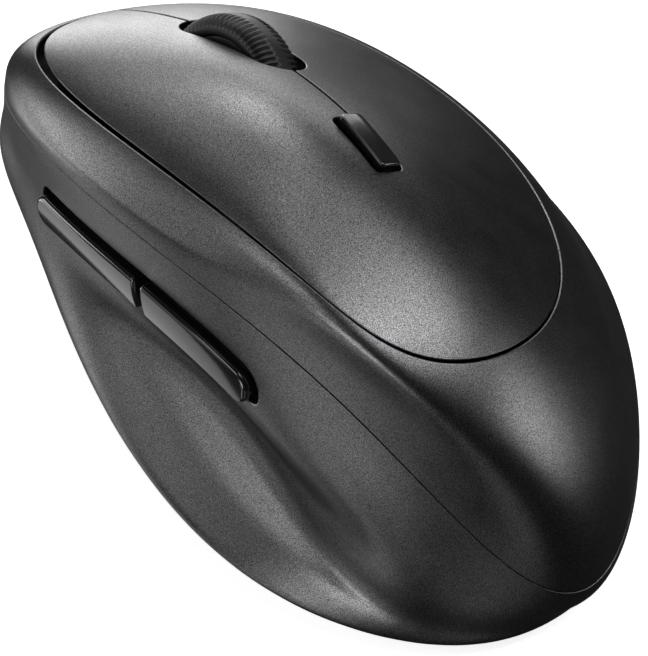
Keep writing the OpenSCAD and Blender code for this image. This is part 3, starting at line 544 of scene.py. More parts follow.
@dataclass(frozen=True)
class Finish:
    """A finish: colour, gloss and grain, with the shader's uniform values."""

    slot: Slot
    color: tuple[float, float, float]
    roughness: float
    metallic: float = 0.0
    coat: float = 0.0
    coat_roughness: float = 0.05
    specular: float = 0.5
    transmission: float = 0.0
    grain: Grain = field(default_factory=Grain)

    def material(self) -> bpy.types.Material:
        """Builds the material, once.

        Returns:
            The node material of this finish.
        """
        known = bpy.data.materials.get(self.slot.value + "_finish")
        if known:
            return known
        made = bpy.data.materials.new(self.slot.value + "_finish")
        made.use_nodes = True
        nodes = made.node_tree.nodes
        links = made.node_tree.links
        shader = nodes["Principled BSDF"]
        shader.inputs["Metallic"].default_value = self.metallic
        shader.inputs["Coat Weight"].default_value = self.coat
        shader.inputs["Coat Roughness"].default_value = self.coat_roughness
        shader.inputs["Specular IOR Level"].default_value = self.specular
        shader.inputs["Transmission Weight"].default_value = self.transmission
        place = nodes.new("ShaderNodeTexCoord")
        stretch = nodes.new("ShaderNodeMapping")
        stretch.inputs["Scale"].default_value = self.grain.stretch
        links.new(place.outputs["Object"], stretch.inputs["Vector"])
        group = nodes.new("ShaderNodeGroup")
        group.node_tree = grain_group()
        links.new(stretch.outputs["Vector"], group.inputs["Vector"])
        group.inputs["Scale"].default_value = 1.0 / (self.grain.size * MM)
        group.inputs["Dark"].default_value = self.shade(1.0 - self.grain.tone)
        group.inputs["Light"].default_value = self.shade(1.0 + self.grain.tone)
        group.inputs["Smooth"].default_value = max(self.roughness - self.grain.rough, LEAST_ROUGH)
        group.inputs["Rough"].default_value = min(self.roughness + self.grain.rough, 1.0)
        links.new(group.outputs["Color"], shader.inputs["Base Color"])
        links.new(group.outputs["Roughness"], shader.inputs["Roughness"])
        bump = nodes.new("ShaderNodeBump")
        bump.inputs["Strength"].default_value = self.grain.bump
        bump.inputs["Distance"].default_value = self.grain.size * MM
        links.new(group.outputs["Height"], bump.inputs["Height"])
        links.new(bump.outputs["Normal"], shader.inputs["Normal"])
        return made

    def shade(self, factor: float) -> tuple[float, float, float, float]:
        """Gives the colour made darker or lighter."""
        return tuple(min(c * factor, 1.0) for c in self.color) + (1.0,)


def grain_group() -> bpy.types.NodeTree:
    """Builds the shared node group for fine grain and soft clouding, once.

    Returns:
        The group's node tree.
    """
    known = bpy.data.node_groups.get("fine_grain")
    if known:
        return known
    tree = bpy.data.node_groups.new("fine_grain", "ShaderNodeTree")
    face = tree.interface
    face.new_socket("Vector", in_out="INPUT", socket_type="NodeSocketVector")
    for name in ("Scale", "Smooth", "Rough"):
        face.new_socket(name, in_out="INPUT", socket_type="NodeSocketFloat")
    for name in ("Dark", "Light"):
        face.new_socket(name, in_out="INPUT", socket_type="NodeSocketColor")
    face.new_socket("Color", in_out="OUTPUT", socket_type="NodeSocketColor")
    face.new_socket("Roughness", in_out="OUTPUT", socket_type="NodeSocketFloat")
    face.new_socket("Height", in_out="OUTPUT", socket_type="NodeSocketFloat")
    nodes = tree.nodes
    links = tree.links
    entry = nodes.new("NodeGroupInput")
    leave = nodes.new("NodeGroupOutput")
    fine = nodes.new("ShaderNodeTexNoise")
    fine.inputs["Detail"].default_value = FINE_DETAIL
    links.new(entry.outputs["Vector"], fine.inputs["Vector"])
    links.new(entry.outputs["Scale"], fine.inputs["Scale"])
    spread = nodes.new("ShaderNodeMapRange")
    spread.inputs["From Min"].default_value = FINE_RANGE[0]
    spread.inputs["From Max"].default_value = FINE_RANGE[1]
    links.new(fine.outputs["Fac"], spread.inputs["Value"])
    coarse = nodes.new("ShaderNodeMath")
    coarse.operation = "DIVIDE"
    coarse.inputs[1].default_value = CLOUD_GRAINS
    links.new(entry.outputs["Scale"], coarse.inputs[0])
    cloud = nodes.new("ShaderNodeTexNoise")
    cloud.inputs["Detail"].default_value = CLOUD_DETAIL
    links.new(entry.outputs["Vector"], cloud.inputs["Vector"])
    links.new(coarse.outputs["Value"], cloud.inputs["Scale"])
    color = nodes.new("ShaderNodeMix")
    color.data_type = "RGBA"
    links.new(spread.outputs["Result"], color.inputs["Factor"])
    links.new(entry.outputs["Dark"], color.inputs["A"])
    links.new(entry.outputs["Light"], color.inputs["B"])
    rough = nodes.new("ShaderNodeMapRange")
    links.new(cloud.outputs["Fac"], rough.inputs["Value"])
    links.new(entry.outputs["Smooth"], rough.inputs["To Min"])
    links.new(entry.outputs["Rough"], rough.inputs["To Max"])
    links.new(color.outputs["Result"], leave.inputs["Color"])
    links.new(rough.outputs["Result"], leave.inputs["Roughness"])
    links.new(spread.outputs["Result"], leave.inputs["Height"])
    return tree


FINISHES = {finish.slot: finish for finish in (
    Finish(Slot.GUNMETAL, (0.2, 0.2, 0.203), 0.34, metallic=1.0,
           grain=Grain(size=0.12, tone=0.7, rough=0.04, bump=0.1)),
    Finish(Slot.GLOSS, (0.012, 0.012, 0.013), 0.16, coat=1.0, coat_roughness=0.1,
           grain=Grain(size=2.0, tone=0.1, rough=0.03, bump=0.005)),
    Finish(Slot.RUBBER, (0.008, 0.008, 0.009), 0.45, grain=Grain(size=0.2, tone=0.3, rough=0.1, bump=0.1)),
    Finish(Slot.DARK, (0.02, 0.02, 0.022), 0.5, grain=Grain(size=0.25, tone=0.2, rough=0.08, bump=0.2)),
    Finish(Slot.SWITCH, (0.02, 0.02, 0.022), 0.4, grain=Grain(size=0.3, tone=0.2, bump=0.1)),
    Finish(Slot.BOARD, (0.03, 0.14, 0.06), 0.35, coat=0.3, grain=Grain(size=1.2, tone=0.35, bump=0.1)),
    Finish(Slot.WHITE, (0.72, 0.72, 0.7), 0.45, grain=Grain(size=0.4, tone=0.05, bump=0.1)),
    Finish(Slot.LENS, (0.85, 0.9, 0.95), 0.05, transmission=0.9,
           grain=Grain(size=2.0, tone=0.03, rough=0.02, bump=0.01)),
    Finish(Slot.WRAP, (0.3, 0.3, 0.32), 0.3, metallic=0.9, grain=Grain(size=0.5, tone=0.15, bump=0.05)),
    Finish(Slot.STEEL, (0.6, 0.6, 0.62), 0.3, metallic=1.0,
           grain=Grain(size=0.2, tone=0.15, bump=0.1, stretch=(1.0, 0.1, 1.0))),
    Finish(Slot.GLIDE, (0.05, 0.05, 0.052), 0.35, grain=Grain(size=0.3, tone=0.15, bump=0.1)),
)}


def dress(piece: bpy.types.Object, slot: Slot) -> None:
    """Puts the finish of a slot of the record on a piece.

    Args:
        piece: The object to dress.
        slot: The material slot of the record.
    """
    piece.data.materials.clear()
    piece.data.materials.append(FINISHES[slot].material())


@dataclass
class Shells:
    """Lower shell with the thumb slot, and the band above it."""

    form: BodyForm
    bench: Bench
    wall: float = 2.0
    seam_gap: float = 0.2
    edge: float = 0.12
    rim_edge: float = 0.3
    rim_bevel: float = 2.2
    lip_reach: float = 2.4
    lip_drop: float = 1.7
    lip_t: float = 1.0
    around: int = 288
    side_front: float = 146.0
    side_back: float = 195.0
    side_break: float = 171.5
    side_arch_top: float = 3.34
    side_arch_angle: float = 192.0
    side_arch: float = 0.00022
    side_h: float = 6.0
    side_h_back: float = 4.6
    side_gap: float = 0.9
    slot_end_r: float = 3.0
    slot_edge: float = 0.35
    inner_drop: float = 0.05
    inner_low: float = 0.6
    inner_rows: tuple[float, ...] = (5.2, 4.8, 4.4)
    rim_under: float = -40.0
    line_ends: float = 8.0
    line_count: int = 400
    slot_count: int = 74
    slot_turns: int = 15
    low_count: int = 31
    high_count: int = 11
    band_count: int = 25
    round_count: int = 228
    inner_high_count: int = 4
    inner_low_count: int = 7

    def side_up(self, angle: np.ndarray) -> np.ndarray:
        """Height of the thumb buttons' middle line along the loft."""
        return self.side_arch_top - self.side_arch * (angle - self.side_arch_angle) ** 2

    def side_half(self, angle: np.ndarray) -> np.ndarray:
        """Half height of the thumb buttons, which narrow towards the rear."""
        share = np.clip((angle - self.side_break) / (self.side_back - self.side_break), 0, 1)
        return (self.side_h + (self.side_h_back - self.side_h) * share) / 2

    def side_line(self) -> tuple[np.ndarray, np.ndarray]:
        """Angles along the thumb buttons' middle line, and the distance run at each.

        Returns:
            Compass angles from front to rear, and distances in millimetres.
        """
        first = self.side_front - self.line_ends
        angle = np.linspace(first, self.side_back + self.line_ends, self.line_count)
        return angle, distance_run(self.form.point(angle, self.side_up(angle)))

    def slot_columns(self) -> tuple[np.ndarray, np.ndarray]:
        """Angles of the columns across the thumb slot, and the slot's half height at each.

        Returns:
            Angles from the front end to the rear end, and half heights.
        """
        angle, run = self.side_line()
        grown = self.side_gap + self.slot_edge
        first = np.interp(self.side_front, angle, run) - grown
        last = np.interp(self.side_back, angle, run) + grown
        radius = self.slot_end_r
        turn = np.linspace(0, np.pi / 2, self.slot_turns)
        inset = radius * (1 - np.cos(turn))
        straight = np.linspace(first + radius, last - radius, self.slot_count)[1:-1]
        at = np.concatenate([first + inset, straight, last - inset[::-1]])
        near = np.clip(np.minimum(at - first, last - at), 0, radius)
        columns = np.interp(at, run, angle)
        half = (self.side_half(columns) + grown) * np.sqrt(np.maximum(1 - (1 - near / radius) ** 2, 0))
        return columns, half

    def lower(self) -> bpy.types.Object:
        """Builds the lower shell round the thumb slot.

        Returns:
            The lower shell.
        """
        form = self.form
        slot_angle, half = self.slot_columns()
        middle = self.side_up(slot_angle)
        share = half / form.rate(slot_angle, middle)
        rest = np.linspace(slot_angle[-1], slot_angle[0] + 360, self.round_count)
        level = np.linspace(middle[-1], middle[0], len(rest))
        low = np.linspace(0, 1, self.low_count)[:, None]
        high = np.linspace(0, 1, self.high_count)[:, None]

        def seam_up(angle: np.ndarray) -> np.ndarray:
            """Heights at which the rounding at the seam begins."""
            return form.set_in(angle, form.at_seam, -self.seam_gap / 2 - self.edge)

        def outer_low(angle: np.ndarray, top: np.ndarray) -> Skin:
            """Rows from the sole to a height."""
            return self.surface(angle, low * top)

        def outer_high(angle: np.ndarray, bottom: np.ndarray) -> Skin:
            """Rows from a height to the seam."""
            return self.surface(angle, bottom + (seam_up(angle) - bottom) * high)

        def inner(angle: np.ndarray, start: np.ndarray, stop: np.ndarray, count: int) -> Skin:
            """Rows on the inner face from one height to another."""
            up = start + (stop - start) * np.linspace(0, 1, count)[:, None]
            return Skin.plain(form.under(angle, up, self.wall))

        def inner_high(angle: np.ndarray, bottom: np.ndarray) -> Skin:
            """Rows on the inner face from under the seam to a height."""
            return inner(angle, form.at_seam - self.inner_drop, bottom, self.inner_high_count)

        def inner_low(angle: np.ndarray, top: np.ndarray) -> Skin:
            """Rows on the inner face from below a height to the foot."""
            return self.later(inner(angle, top, self.inner_low, self.inner_low_count))

        def seam_edge(angle: np.ndarray) -> Skin:
            """Rounded top edge at the seam.

            Args:
                angle: Compass angles of the columns.

            Returns:
                The rows of the rounding.
            """
            seam = seam_up(angle)
            up = form.normal(angle, seam)
            along = unit(form.blended(angle, seam, rate=True))
            return rounding(form.point(angle, seam), along, up, self.edge, np.zeros(len(angle)))

        def foot(angle: np.ndarray) -> Skin:
            """Inner foot, flat on the level of the sole.

            Args:
                angle: Compass angles of the columns.

            Returns:
                One row of points.
            """
            point = form.point(angle, np.zeros(len(angle)))
            normal = form.normal(angle, np.zeros(len(angle)))
            flat = unit(normal * [1.0, 1.0, 0.0])
            return Skin.plain((point - self.wall * flat)[None])

        def slot_edge(angle: np.ndarray, height: np.ndarray) -> Skin:
            """Rounded edge and wall of the slot.

            Args:
                angle: Compass angles of the columns.
                height: Heights of the slot's edge there.

            Returns:
                The rows of the rounding, and the wall's inner row.
            """
            line = form.point(angle, height)
            up = form.normal(angle, height)
            centre = form.point(angle, self.side_up(angle))
            out = outward(line, up, 2 * line - centre)
            axis = unit(np.gradient(centre, axis=0))
            out[0] = axis[0]
            out[-1] = -axis[-1]
            bend = rounding(line, out, up, self.slot_edge, np.zeros(len(angle)))
            return Skin.stacked([bend, Skin.plain((line - self.wall * up)[None])])

        ring = Skin.stacked([outer_low(rest, level), self.later(outer_high(rest, level)), seam_edge(rest),
                             inner_high(rest, level), inner_low(rest, level), foot(rest)])
        under_slot = middle - share
        over_slot = middle + share
        lower = Skin.stacked([outer_low(slot_angle, under_slot), slot_edge(slot_angle, under_slot),
                              inner_low(slot_angle, under_slot), foot(slot_angle)])
        upper = Skin.stacked([outer_high(slot_angle, over_slot), seam_edge(slot_angle),
                              inner_high(slot_angle, over_slot), slot_edge(slot_angle, over_slot).reversed()])
        return self.bench.piece("lower_shell", [ring.closed(), lower.closed(), upper.closed()])

    @staticmethod
    def later(skin: Skin) -> Skin:
        """Leaves out the first row of a grid."""
        return Skin(skin.points[1:], skin.facing[1:])

    def surface(self, angle: np.ndarray, up: np.ndarray) -> Skin:
        """Rows on the outer face at heights along the loft."""
        return Skin(self.form.point(angle, up), self.form.normal(angle, up))

    def upper(self) -> bpy.types.Object:
        """Builds the band between the seam and the top panel.

        Returns:
            The upper shell.
        """
        form = self.form
        angle = np.linspace(0, 360, self.around + 1)
        seam = form.set_in(angle, form.at_seam, self.seam_gap / 2 + self.edge)
        rim = form.set_in(angle, form.at_panel, -self.rim_edge)
        share = np.linspace(0, 1, self.band_count)[:, None]
        outer = self.surface(angle, seam + (rim - seam) * share)
        along = unit(form.blended(angle, rim, rate=True))
        back = -unit(form.blended(angle, seam, rate=True))
        top = rounding(outer.points[-1], along, form.normal(angle, rim), self.rim_edge,
                       np.full(len(angle), self.rim_under))
        bottom = rounding(outer.points[0], back, form.normal(angle, seam), self.edge, np.zeros(len(angle)))
        foot = form.set_in(angle, form.at_panel, -self.rim_bevel)
        lip = form.set_in(angle, form.at_panel, self.lip_reach)
        root = form.set_in(angle, form.at_panel, -2 * self.rim_bevel)
        ledge = self.wall + self.lip_drop
        inner = [form.under(angle, foot, self.wall), form.under(angle, lip, ledge),
                 form.under(angle, lip, ledge + self.lip_t), form.under(angle, root, self.wall)]
        inner += [form.under(angle, np.full(len(angle), up), self.wall) for up in self.inner_rows]
        inner.append(form.under(angle, seam, self.wall))
        ring = Skin.stacked([outer, top, Skin.plain(np.array(inner)), bottom.reversed()])
        return self.bench.piece("upper_shell_band", [ring.closed()])

    def build(self) -> list[bpy.types.Object]:
        """Builds and dresses both shells.

        Returns:
            The two shells.
        """
        lower = self.lower()
        upper = self.upper()
        for piece, node in ((lower, "thumb_shell"), (upper, "upper_shell")):
            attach(piece, "case")
            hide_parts(node)
            dress(piece, Slot.GUNMETAL)
        return [lower, upper]


@dataclass
class TopPanel:
    """Leaning top panel in two halves that meet in the slit, the wheel slot and the centre button's hole."""

    form: BodyForm
    bench: Bench
    wheel: Spot
    press: Spot
    centre: Spot
    wall: float = 2.0
    panel_gap: float = 0.4
    corner_gap: float = 0.9
    corner_angle: float = 122.0
    corner_sharp: int = 12
    split_gap: float = 0.5
    edge: float = 0.14
    slot_half: float = 4.2
    slot_end: float = 10.8
    hole: tuple[float, float] = (4.0, 9.6)
    hole_gap: float = 0.6
    hole_corner: float = 0.7
    rows: int = 29
    flex_back: float = 36.0
    flex_span: float = 5.0
    facing_shifts: tuple[float, ...] = (4.0, -3.5, 1.5, -4.0)
    rim_step: float = 0.25
    rim_count: int = 800
    outline_count: int = 400
    slot_count: int = 56
    hole_count: int = 44
    slit_count: int = 12
    seam_count: int = 30
    outline_step: float = 1.5
    under_stride: int = 3

    def rim(self, angle: np.ndarray) -> np.ndarray:
        """Places on the disc along the panel's outer edge.

        Args:
            angle: Compass angles in degrees.

        Returns:
            Places on the disc, one pair per row.
        """
        corner = np.maximum(np.cos(np.radians(angle - self.corner_angle)), 0) ** self.corner_sharp
        gap = self.panel_gap + self.corner_gap * corner + self.edge
        up = self.form.set_in(angle, self.form.at_panel, gap)
        reach = self.form.at_crown - up
        return np.stack([reach * np.cos(np.radians(angle)), reach * np.sin(np.radians(angle))], axis=1)

    def pressed(self, spread: np.ndarray) -> np.ndarray:
        """Places on the disc in the main buttons' own frame."""
        return self.press.local(self.form.top_point(spread))

    def stadium(self) -> np.ndarray:
        """Outline of the wheel slot, in the wheel's frame.

        Returns:
            Points round the outline, one pair per row.
        """
        radius = self.slot_half + self.edge
        shift = self.slot_end - self.slot_half
        turn = np.radians(np.arange(0, 360, self.outline_step))
        along = radius * np.sin(turn) + shift * np.sign(np.sin(turn))
        return np.stack([radius * np.cos(turn), along], axis=1)

    def hole_outline(self) -> np.ndarray:
        """Outline of the centre button's hole, in that button's frame.

        Returns:
            Points round the outline, one pair per row.
        """
        radius = self.hole_corner + self.hole_gap + self.edge
        turn = np.radians(np.arange(0, 360, 2 * self.outline_step) + self.outline_step)
        across = self.hole[0] / 2 - self.hole_corner
        along = self.hole[1] / 2 - self.hole_corner
        return np.stack([radius * np.cos(turn) + across * np.sign(np.cos(turn)),
                         radius * np.sin(turn) + along * np.sign(np.sin(turn))], axis=1)

    def beside(self, spot: Spot, outline: np.ndarray, side: Side, count: int, seamed: bool) -> np.ndarray:
        """Cuts the stretch of an outline that borders one half, from front to rear.

        Args:
            spot: The outline's frame.
            outline: The closed outline.
            side: The half of the panel.
            count: How many points to return.
            seamed: Whether the rear end reaches the seam itself.

        Returns:
            Places on the disc.
        """
        loop = np.vstack([outline, outline[:1]])
        spread = self.form.find(spot, resample(loop, self.outline_count)[:-1])
        seen = self.pressed(spread)
        clear = np.full(len(seen), self.split_gap / 2 + self.edge)
        if seamed:
            clear[seen[:, 1] < seen[:, 1].mean()] = 0.0
        run = positive_run(spread, side.value * seen[:, 0] - clear)
        return self.from_front(run, count)

    def from_front(self, run: np.ndarray, count: int) -> np.ndarray:
        """Spreads places evenly along a stretch, from its front end to its rear end.

        Args:
            run: Places along the stretch, in either order.
            count: How many places to return.

        Returns:
            Places on the disc.
        """
        if self.pressed(run[:1])[0, 1] < self.pressed(run[-1:])[0, 1]:
            run = run[::-1]
        return resample(run, count)

    def slit(self, start: np.ndarray, stop: np.ndarray, offset: float, count: int) -> np.ndarray:
        """Places along the slit between two others, without these ends.

        Args:
            start: Place on the disc at one end.
            stop: Place on the disc at the other end.
            offset: Distance from the slit's middle line in millimetres.
            count: How many places to return.

        Returns:
            Places on the disc, one pair per row.
        """
        first = self.pressed(start[None])[0, 1]
        last = self.pressed(stop[None])[0, 1]
        along = np.linspace(first, last, count + 2)[1:-1]
        return self.form.find(self.press, np.stack([np.full(count, offset), along], axis=1))

    def rim_stretch(self, side: Side) -> np.ndarray:
        """Places along the outer edge of one half, from the slit in front to the seam at the rear.

        Args:
            side: The half of the panel.

        Returns:
            Places on the disc, one pair per row.
        """
        angle = np.arange(0, 360, self.rim_step)
        spread = self.rim(angle)
        seen = self.pressed(spread)
        clear = np.where(seen[:, 1] > 0, self.split_gap / 2 + self.edge, 0.0)
        run = positive_run(spread, side.value * seen[:, 0] - clear)
        return self.from_front(run, self.rim_count)

    def half(self, side: Side) -> Skin:
        """Lays the grid of one half.

        Args:
            side: The half of the panel.

        Returns:
            A closed grid, from the outer edge to the inner edge and back underneath.
        """
        form = self.form
        rim = self.rim_stretch(side)
        offset = side.value * (self.split_gap / 2 + self.edge)
        slot = self.beside(self.wheel, self.stadium(), side, self.slot_count, seamed=False)
        hole = self.beside(self.centre, self.hole_outline(), side, self.hole_count, seamed=True)
        front = self.slit(rim[0], slot[0], offset, self.slit_count)
        between = self.slit(slot[-1], hole[0], offset, self.slit_count)
        seam = self.slit(hole[-1], rim[-1], 0.0, self.seam_count)
        inner = np.vstack([rim[:1], front, slot, between, hole, seam, rim[-1:]])
        kinds = ([Edge.RIM] + [Edge.SPLIT] * len(front) + [Edge.SLOT] * len(slot)
                 + [Edge.SPLIT] * (len(between) + len(hole)) + [Edge.SEAM] * (len(seam) + 1))
        outer = self.matched(rim, inner, slot, hole)
        share = np.linspace(0, 1, self.rows)[:, None, None]
        spread = outer + (inner - outer) * share
        face = Skin(form.top_point(spread), form.top_normal(spread))
        solid = len(inner) - len(seam) - 1
        chain = np.vstack([face.points[-1][:solid][::-1], face.points[0][1:]])
        chain_up = np.vstack([face.facing[-1][:solid][::-1], face.facing[0][1:]])
        chain_in = np.vstack([face.points[-3][:solid][::-1], face.points[2][1:]])
        out = outward(chain, chain_up, chain_in)
        inner_out = np.zeros_like(face.points[-1])
        inner_out[:solid] = out[:solid][::-1]
        outer_out = np.vstack([out[solid - 1:solid], out[solid:]])
        inner_edge = self.edge_rows(face.points[-1], inner_out, face.facing[-1], kinds)
        outer_edge = self.edge_rows(face.points[0], outer_out, face.facing[0], [Edge.RIM] * len(outer))
        under = Skin.plain((face.points - self.wall * face.facing)[::-self.under_stride][1:-1])
        return Skin.stacked([face, inner_edge, under, outer_edge.reversed()]).closed()

    def edge_rows(self, line: np.ndarray, out: np.ndarray, up: np.ndarray, kinds: list[Edge]) -> Skin:
        """Rounds an edge and takes its wall down to its foot.

        Args:
            line: Points where the rounding leaves the surface.
            out: Directions away from the piece.
            up: Normals of the surface.
            kinds: The kind of edge at each point.

        Returns:
            Rows of the edge, from the surface to the foot.
        """
        lean = np.array([kind.value[0] for kind in kinds])[:, None]
        last = np.array([kind.value[1] for kind in kinds])
        bend = rounding(line, out, up, self.edge, last)
        foot = line + lean * out - self.wall * up
        return Skin.stacked([bend, Skin.plain(foot[None])])

    def matched(self, rim: np.ndarray, inner: np.ndarray, slot: np.ndarray, hole: np.ndarray) -> np.ndarray:
        """Picks the places on the outer edge that face those on the inner edge.

        Args:
            rim: Places along the outer edge.
            inner: Places along the inner edge.
            slot: The inner edge's stretch beside the wheel.
            hole: The inner edge's stretch beside the centre button.

        Returns:
            One place on the outer edge for each on the inner edge.
        """
        along = self.pressed(rim)[:, 1]
        peak = int(np.argmax(along))
        falling = along[peak:][::-1]
        shares = np.linspace(0, 1, len(rim))[peak:][::-1]
        ends = [slot[0], slot[-1], hole[0], hole[-1]]
        wanted = [self.pressed(e[None])[0, 1] + s for e, s in zip(ends, self.facing_shifts)]
        marks = [0.0] + [float(np.interp(y, falling, shares)) for y in wanted] + [1.0]
        index = [0] + [int(np.argmin(np.linalg.norm(inner - e, axis=1))) for e in ends] + [len(inner) - 1]
        run = distance_run(self.form.top_point(inner))
        share = np.interp(run, run[index], marks)
        grid = np.linspace(0, 1, len(rim))
        return np.stack([np.interp(share, grid, rim[:, k]) for k in range(2)], axis=1)

    def build(self) -> list[bpy.types.Object]:
        """Builds both halves and dresses them; the ends of a bend at the root of the buttons are worked out
        but not used.

        Returns:
            The left and the right half.
        """
        root = self.press.local(self.wheel.origin[None])[0] - [0.0, self.flex_back, 0.0]
        start = tuple(self.press.world(np.array([0.0, root[1] - self.flex_span, 0.0])) * MM)
        end = tuple(self.press.world(np.array([0.0, root[1] + self.flex_span, 0.0])) * MM)
        made = []
        for side, name, body in ((Side.LEFT, "left_panel_half", "left_button"),
                                 (Side.RIGHT, "right_panel_half", "right_button")):
            piece = self.bench.piece(name, [self.half(side)])
            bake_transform(piece)
            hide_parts(body)
            dress(piece, Slot.GUNMETAL)
            made.append(piece)
        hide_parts("palm_cover")
        return made


@dataclass
class ScrollWheel:
    """Ribbed rubber tyre on a dark hub."""

    bench: Bench
    spot: Spot
    radius: float = 12.0
    half: float = 3.3
    band: float = 0.9
    shoulder: float = 1.6
    rim_in: float = 2.8
    ribs: int = 84
    rib_deep: float = 0.5
    hub_in: float = 0.45
    axle_r: float = 1.2
    side_fall: float = 0.3
    bore_chamfer: float = 0.15
    rib_sharp: float = 1.6
    rib_side: float = 0.5
    rib_steps: int = 6
    shoulder_steps: int = 13
    hub_clear: float = 0.05
    boss_r: float = 2.6
    dish_r: float = 3.0
    dish_deep: float = 0.6
    dish_rim: tuple[float, float] = (1.4, 1.0)
    hub_chamfer: float = 0.2
    hub_steps: int = 97
    hub_sharp: float = 30.0

    def profile(self) -> np.ndarray:
        """Half outline of the tyre: distance across, radius and depth of the ribs there.

        Returns:
            Three numbers for each point, from the middle of the tread to the bore.
        """
        turn = np.linspace(0, np.pi / 2, self.shoulder_steps)
        across = self.band + (self.half - self.band) * np.sin(turn)
        up = self.radius - self.shoulder * (1 - np.cos(turn))
        deep = self.rib_deep * np.clip(np.sin(2 * turn) * self.rib_sharp, 0, 1)
        flat = np.array([[0.0, self.radius, 0.0], [self.band / 2, self.radius, 0.0]])
        bore = self.radius - self.rim_in
        inner = np.array([[self.half, self.radius - self.shoulder - self.side_fall, 0.0],
                          [self.half, bore + self.bore_chamfer, 0.0],
                          [self.half - self.bore_chamfer, bore, 0.0]])
        return np.vstack([flat, np.stack([across, up, deep], axis=1), inner])

    def tyre(self) -> bpy.types.Object:
        """Builds the ribbed tyre.

        Returns:
            The tyre.
        """
        side = self.profile()
        other = side[::-1] * [-1.0, 1.0, 1.0]
        outline = np.vstack([other, side[1:], other[:1]])
        steps = self.ribs * self.rib_steps
        turn = np.linspace(0, 2 * np.pi, steps + 1)
        wave = 0.5 - 0.5 * np.clip(self.rib_sharp * np.cos(turn * self.ribs), -1, 1)
        reach = outline[:, 1][:, None] - outline[:, 2][:, None] * wave
        across = np.broadcast_to(outline[:, 0][:, None], reach.shape)
        across = across - np.sign(across) * outline[:, 2][:, None] * wave * self.rib_side
        points = np.stack([across, reach * np.cos(turn), reach * np.sin(turn)], axis=-1)
        return self.bench.piece("ribbed_tyre", [Skin.plain(self.spot.world(points))])

    def hub(self) -> bpy.types.Object:
        """Builds the hub with a stepped face and a bore for the axle.

        Returns:
            The hub.
        """
        edge = self.radius - self.rim_in - self.hub_clear
        face = self.half - self.hub_in
        dish = face - self.dish_deep
        chamfer = self.hub_chamfer
        side = np.array([[face, self.axle_r], [face, self.boss_r], [dish, self.dish_r],
                         [dish, edge - self.dish_rim[0]], [face, edge - self.dish_rim[1]],
                         [face, edge - chamfer], [face - chamfer, edge]])
        outline = np.vstack([side, side[::-1] * [-1.0, 1.0], side[:1]])
        turn = np.linspace(0, 2 * np.pi, self.hub_steps)
        across = np.broadcast_to(outline[:, 0][:, None], (len(outline), self.hub_steps))
        reach = outline[:, 1][:, None]
        points = np.stack([across, reach * np.cos(turn), reach * np.sin(turn)], axis=-1)
        piece = self.bench.piece("wheel_hub_disc", [Skin.plain(self.spot.world(points))])
        bpy.ops.object.shade_smooth_by_angle(angle=math.radians(self.hub_sharp))
        return piece

    def build(self) -> list[bpy.types.Object]:
        """Builds and dresses the wheel.

        Returns:
            The tyre and the hub.
        """
        tyre = self.tyre()
        hub = self.hub()
        for piece, node, slot in ((tyre, "wheel_tyre", Slot.RUBBER), (hub, "wheel_hub", Slot.DARK)):
            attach(piece, "wheel")
            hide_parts(node)
            dress(piece, slot)
        return [tyre, hub]


